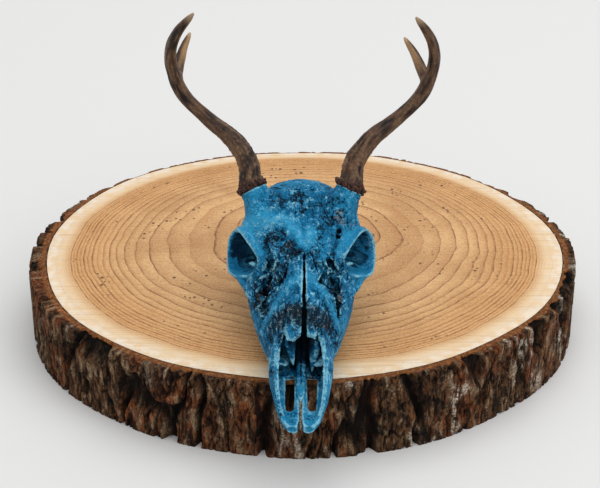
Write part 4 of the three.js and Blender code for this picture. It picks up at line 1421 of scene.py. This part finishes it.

# %% [markdown]
# The paint is an azure that is brighter where it lies thick. It has a painted shade in the dips of
# the relief and a pale painted highlight on the rises and edges. On top come bare grey-tan bone in
# the porous places, brown-black grime in every crack, which also darkens the hollows, and a deep
# blue painted shade in the orbits and the inside of the nose.

# %% Painted bone
paint = Finish("painted_bone", 0.5, 0.1)
broad = paint.mottle(12.0, 0.36, 0.64, 0.6)
fine = paint.mottle(1.9, 0.34, 0.66, 1.5)
dust = paint.mottle(1.3, 0.2, 0.8)
high = paint.math("MULTIPLY_ADD", paint.less(fine, 0.5), 0.24, paint.mark("high"))
paint.color = paint.blend(broad, (12, 108, 154), (32, 138, 192))
paint.layer(paint.times(paint.mark("thick"), 0.7), (52, 168, 216))
# Painted shade: a dark blue where the relief dips.
paint.layer(paint.eased(high, 0.5, 0.1, 0.0, 0.8), (4, 48, 74))
# Painted highlight: a pale blue on the rises and edges.
paint.layer(paint.eased(high, 0.53, 0.88, 0.0, 0.9), (140, 210, 234))
flakes = paint.less(paint.mark("bare"), paint.math("MULTIPLY_ADD", fine, 0.7, 0.3))
paint.layer(paint.eased(flakes, 0.0, 0.3, 0.0, 0.8), (148, 136, 120))
cracks = paint.add("TexVoronoi", {"Vector": paint.place, "Scale": 380.0, "Randomness": 1.0},
                   feature="DISTANCE_TO_EDGE").outputs["Distance"]
crack = paint.times(paint.eased(cracks, 0.1, 0.0), broad)
grimy = paint.less(paint.math("MULTIPLY_ADD", paint.mark("grime"), 1.05, 0.02),
                   paint.times(dust, 0.7))
# Grime in cracks and crevices, drawn darker still in hollows by how enclosed they are.
grime_and_hollows = paint.math("ADD", paint.eased(grimy, -0.1, 0.4), paint.times(crack, 0.4), held=True)
paint.layer(paint.times(grime_and_hollows, 0.92), (9, 17, 23))
eye = paint.mark("eye")
# Painted shade: the orbits drawn a dark blue.
paint.layer(paint.times(eye, 0.9), (1, 32, 64))
# Painted shade where the skull is shut in, as in the orbits and the inside of the nose.
paint.layer(paint.times(paint.mark("deep"), paint.eased(eye, 0.0, 1.0, 0.95, 0.84)), (1, 14, 32))
relief = paint.less(paint.times(fine, 0.7), paint.math("MAXIMUM", crack, grime_and_hollows))
paint.done(paint.eased(grime_and_hollows, 0.0, 1.0, 0.42, 0.75), relief, 0.9)
for piece in painted:
    piece.data.materials.append(paint.material)

# %% [markdown]
# Antler is dark brown where sap and soil have stained it and grey-tan on the ridges that were
# rubbed against trees. Its tips are polished pale.

# %% Antler finish
stained = Finish("antler", 0.5, 0.25)
ridge = stained.mark("ridge")
fine = stained.mottle(2.2, 0.35, 0.68)
stained.color = stained.blend(stained.mottle(16.0, 0.36, 0.62), (38, 25, 18), (80, 55, 38))
rubbed = stained.times(stained.eased(ridge, 0.35, 0.95), stained.eased(fine, 0.0, 1.0, 0.3, 0.7), held=True)
stained.layer(rubbed, (130, 100, 72))
stained.layer(stained.eased(ridge, 0.42, 0.1), (18, 12, 10))
stained.layer(stained.times(stained.mark("burr"), 0.9), stained.blend(fine, (15, 10, 9), (84, 46, 30)))
stained.layer(stained.times(stained.mark("tan"), 0.75), (168, 132, 92))
stained.layer(stained.eased(stained.mark("way"), 0.93, 1.0, 0.0, 0.7), (186, 160, 128))
stained.done(stained.eased(ridge, 0.2, 0.9, 0.55, 0.33), fine, 0.3)
for piece in antlers:
    piece.data.materials.append(stained.material)

# %% [markdown]
# The wood's year rings are ovals round a pith that lies behind the middle. The share of the way
# from pith to bark has a closed form: it is the size of the oval through the point when the
# oval's middle slides from the pith to the middle of the slice. Rings crowd together outwards.

# %% Year rings
PITH = (0.0017 * 1000 / WOOD_WIDE, 0.0466 * 1000 / WOOD_DEEP, 0)
wood = Finish("sawn_wood", 0.62, 0.3)
oval = wood.stretched(1000 / WOOD_WIDE, 1000 / WOOD_DEEP, 0.0)
from_pith = wood.add("VectorMath", {0: oval, 1: PITH}, operation="SUBTRACT").outputs[0]
slide, square = (wood.add("VectorMath", {0: from_pith, 1: other}, operation="DOT_PRODUCT")
                 .outputs["Value"] for other in (PITH, from_pith))
rest_share = 1 - PITH[0] ** 2 - PITH[1] ** 2
root = wood.math("SQRT", wood.math("MULTIPLY_ADD", square, rest_share, wood.times(slide, slide)))
even_share = wood.math("DIVIDE", wood.math("ADD", root, slide), rest_share)
wobble = wood.times(wood.less(wood.cloud(oval, 2.4, 3.0), 0.5),
                    wood.eased(even_share, 0.1, 1.0, 0.17, 0.045))
share = wood.math("ADD", even_share, wobble)
crowding = wood.times(wood.math("POWER", wood.math("MINIMUM", share, 1.0), 7.0), 21.0)
count = wood.math("MULTIPLY_ADD", share, 10.5, crowding)
ring = wood.math("FRACT", count)
year = wood.add("TexWhiteNoise", {"W": wood.math("FLOOR", count)},
                noise_dimensions="1D").outputs["Value"]
ended = wood.eased(ring, 1.0, 0.985)
late = wood.times(wood.eased(ring, wood.eased(share, 0.6, 0.88, 0.84, 0.4), 0.97), ended)
late = wood.times(late, wood.eased(year, 0.1, 0.9, 0.15, 1.0))
soft_late = wood.times(wood.eased(ring, 0.2, 1.0), ended)
sap = wood.eased(share, 0.89, 0.945)
print("pith", [round(p, 3) for p in PITH])

# %% [markdown]
# The heart of the slice is a honey tan that deepens outwards, and the sapwood by the bark is nearly
# white. The late wood of each year is a thin brown line. The saw has left faint straight marks,
# and small dark pores lie in rows along the rings.

# %% Colours of the wood
fine = wood.mottle(2.5, 0.35, 0.7)
pale = wood.mottle(9.0, 0.35, 0.65)
wood.color = wood.blend(wood.mottle(60.0, 0.35, 0.65), (178, 132, 84), (214, 170, 118))
wood.layer(wood.eased(share, 0.6, 0.88, 0.0, 0.55), (200, 142, 78))
wood.layer(wood.times(soft_late, 0.5), (160, 102, 56))
wood.layer(wood.times(fine, 0.5), (152, 106, 64))
wood.layer(wood.times(wood.mottle(1.2, 0.4, 0.62), 0.4), (220, 182, 132))
wood.layer(wood.times(sap, 0.9), (218, 190, 150))
white = wood.times(wood.eased(share, 0.92, 0.99), wood.eased(pale, 0.0, 1.0, 0.2, 0.9))
wood.layer(white, (224, 212, 194))
seen = wood.times(late, wood.eased(sap, 0.0, 1.0, 0.88, 0.2))
wood.layer(wood.times(seen, wood.eased(pale, 0.0, 1.0, 0.4, 0.95)), (98, 52, 24))
saw = wood.cloud(wood.stretched(14.0, 620.0, 1.0, 0.32), 1.0, 3.0)
wood.layer(wood.eased(saw, 0.46, 0.75, 0.0, 0.26), (146, 100, 62))
around = wood.add("VectorMath", {0: from_pith}, operation="NORMALIZE").outputs[0]
along_ring = wood.add("SeparateXYZ", {0: around}).outputs
ring_place = wood.add("CombineXYZ", {0: along_ring[0], 1: along_ring[1],
                                     2: wood.times(share, 7.0)}).outputs[0]
pores = wood.times(wood.speckle(3.6, 0.55, 0.4),
                   wood.eased(wood.cloud(ring_place, 2.4, 2.0), 0.56, 0.64))
pores = wood.times(pores, wood.eased(share, 0.92, 0.84))
wood.layer(wood.times(pores, 0.85), (58, 34, 20))
relief = wood.less(wood.less(wood.times(saw, 0.6), pores), wood.times(late, 0.25))
wood.done(height=relief, depth_mm=0.3)
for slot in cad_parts["base_wood"].material_slots:
    slot.material = wood.material

# %% [markdown]
# Bark is dark brown with reddish plates, black furrows and pale lichen. On top it shows a thin
# cinnamon ring of inner bark next to the wood.

# %% Bark finish
rind = Finish("bark", 0.9, 0.15)
rough, lichen = rind.mark("rough"), rind.mark("lichen")
fibre = rind.mottle(2.6, 0.36, 0.64, 0.8, rind.stretched(z=0.25))
plates = rind.mottle(14.0, 0.4, 0.6, vector=rind.stretched(z=0.5))
grit = rind.mottle(1.6, 0.42, 0.6)
rind.color = rind.blend(fibre, (20, 12, 8), (108, 74, 47))
warm = rind.times(rind.times(plates, rind.mark("red")), 0.9)
rind.layer(warm, rind.blend(fibre, (62, 30, 14), (146, 80, 42)))
rubbed = rind.times(rind.eased(rough, 0.6, 1.0), rind.eased(grit, 0.0, 1.0, 0.25, 0.8), held=True)
rind.layer(rubbed, (178, 150, 116))
rind.layer(rind.times(lichen, rind.eased(grit, 0.1, 0.8, 0.15, 1.0)), (222, 214, 198))
rind.layer(rind.times(rind.speckle(2.4, 0.5, 0.42), rind.eased(lichen, 0.0, 0.5, 0.1, 0.8)),
           (214, 204, 184))
rind.layer(rind.eased(rough, 0.42, 0.0, 0.0, 0.9), (13, 9, 7))
rind.layer(rind.times(rind.mark("furrow"), 0.95, held=True), (8, 6, 5))
rind.layer(rind.mark("skin"), rind.blend(fibre, (116, 68, 36), (164, 106, 60)))
rind.done(height=rind.math("ADD", fibre, rind.times(grit, 0.6)), depth_mm=1.1)
bark_piece.data.materials.append(rind.material)

# %% [markdown]
# The photograph was taken on a plain pale floor under soft light. One large panel hangs above, a
# smaller one stands in front on the right, and a bright room fills the shadows.

# %% Floor and light
floor_mesh = bpy.data.meshes.new("floor")
FLOOR = 9
floor_mesh.from_pydata([(-FLOOR, -FLOOR, 0), (FLOOR, -FLOOR, 0), (FLOOR, FLOOR, 0), (-FLOOR, FLOOR, 0)],
                       [], [(0, 1, 2, 3)])
floor = bpy.data.objects.new("floor", floor_mesh)
bpy.context.scene.collection.objects.link(floor)
floor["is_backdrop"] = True
floor_finish = Finish("floor", 0.8)
floor_finish.shader.inputs["Base Color"].default_value = shade(210, 210, 209)
floor_mesh.materials.append(floor_finish.material)


def light_panel(name, place, size, power):
    """Square panel that faces the middle of the object."""
    data = bpy.data.lights.new(name, "AREA")
    data.size = size
    data.energy = power
    light = bpy.data.objects.new(name, data)
    light.location = place
    light.rotation_euler = (-Vector(place)).to_track_quat("-Z", "Y").to_euler()
    bpy.context.scene.collection.objects.link(light)


light_panel("high_panel", (0.5, 0.15, 4.4), 4.8, 142)
light_panel("front_panel", (2.2, -1.8, 2.0), 2.0, 19)
room = bpy.data.worlds.new("room")
bpy.context.scene.world = room
room.use_nodes = True
backdrop = room.node_tree.nodes["Background"].inputs
backdrop["Color"].default_value = (0.95, 0.95, 0.955, 1)
backdrop["Strength"].default_value = 0.72
print("lights", [light.name for light in bpy.data.lights])

# %% [markdown]
# The box of the finished model is set beside that of the packed solids, which it stays inside but
# for a few millimetres of bark. Both sizes are printed.

# %% Sizes of the model and the solids
low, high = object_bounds()
{"cad": [list(cad_low), list(cad_high)], "visual": [list(low), list(high)]}
for box, size in (("solids", cad_high - cad_low), ("visual model", high - low)):
    print(box, [round(s, 4) for s in size])
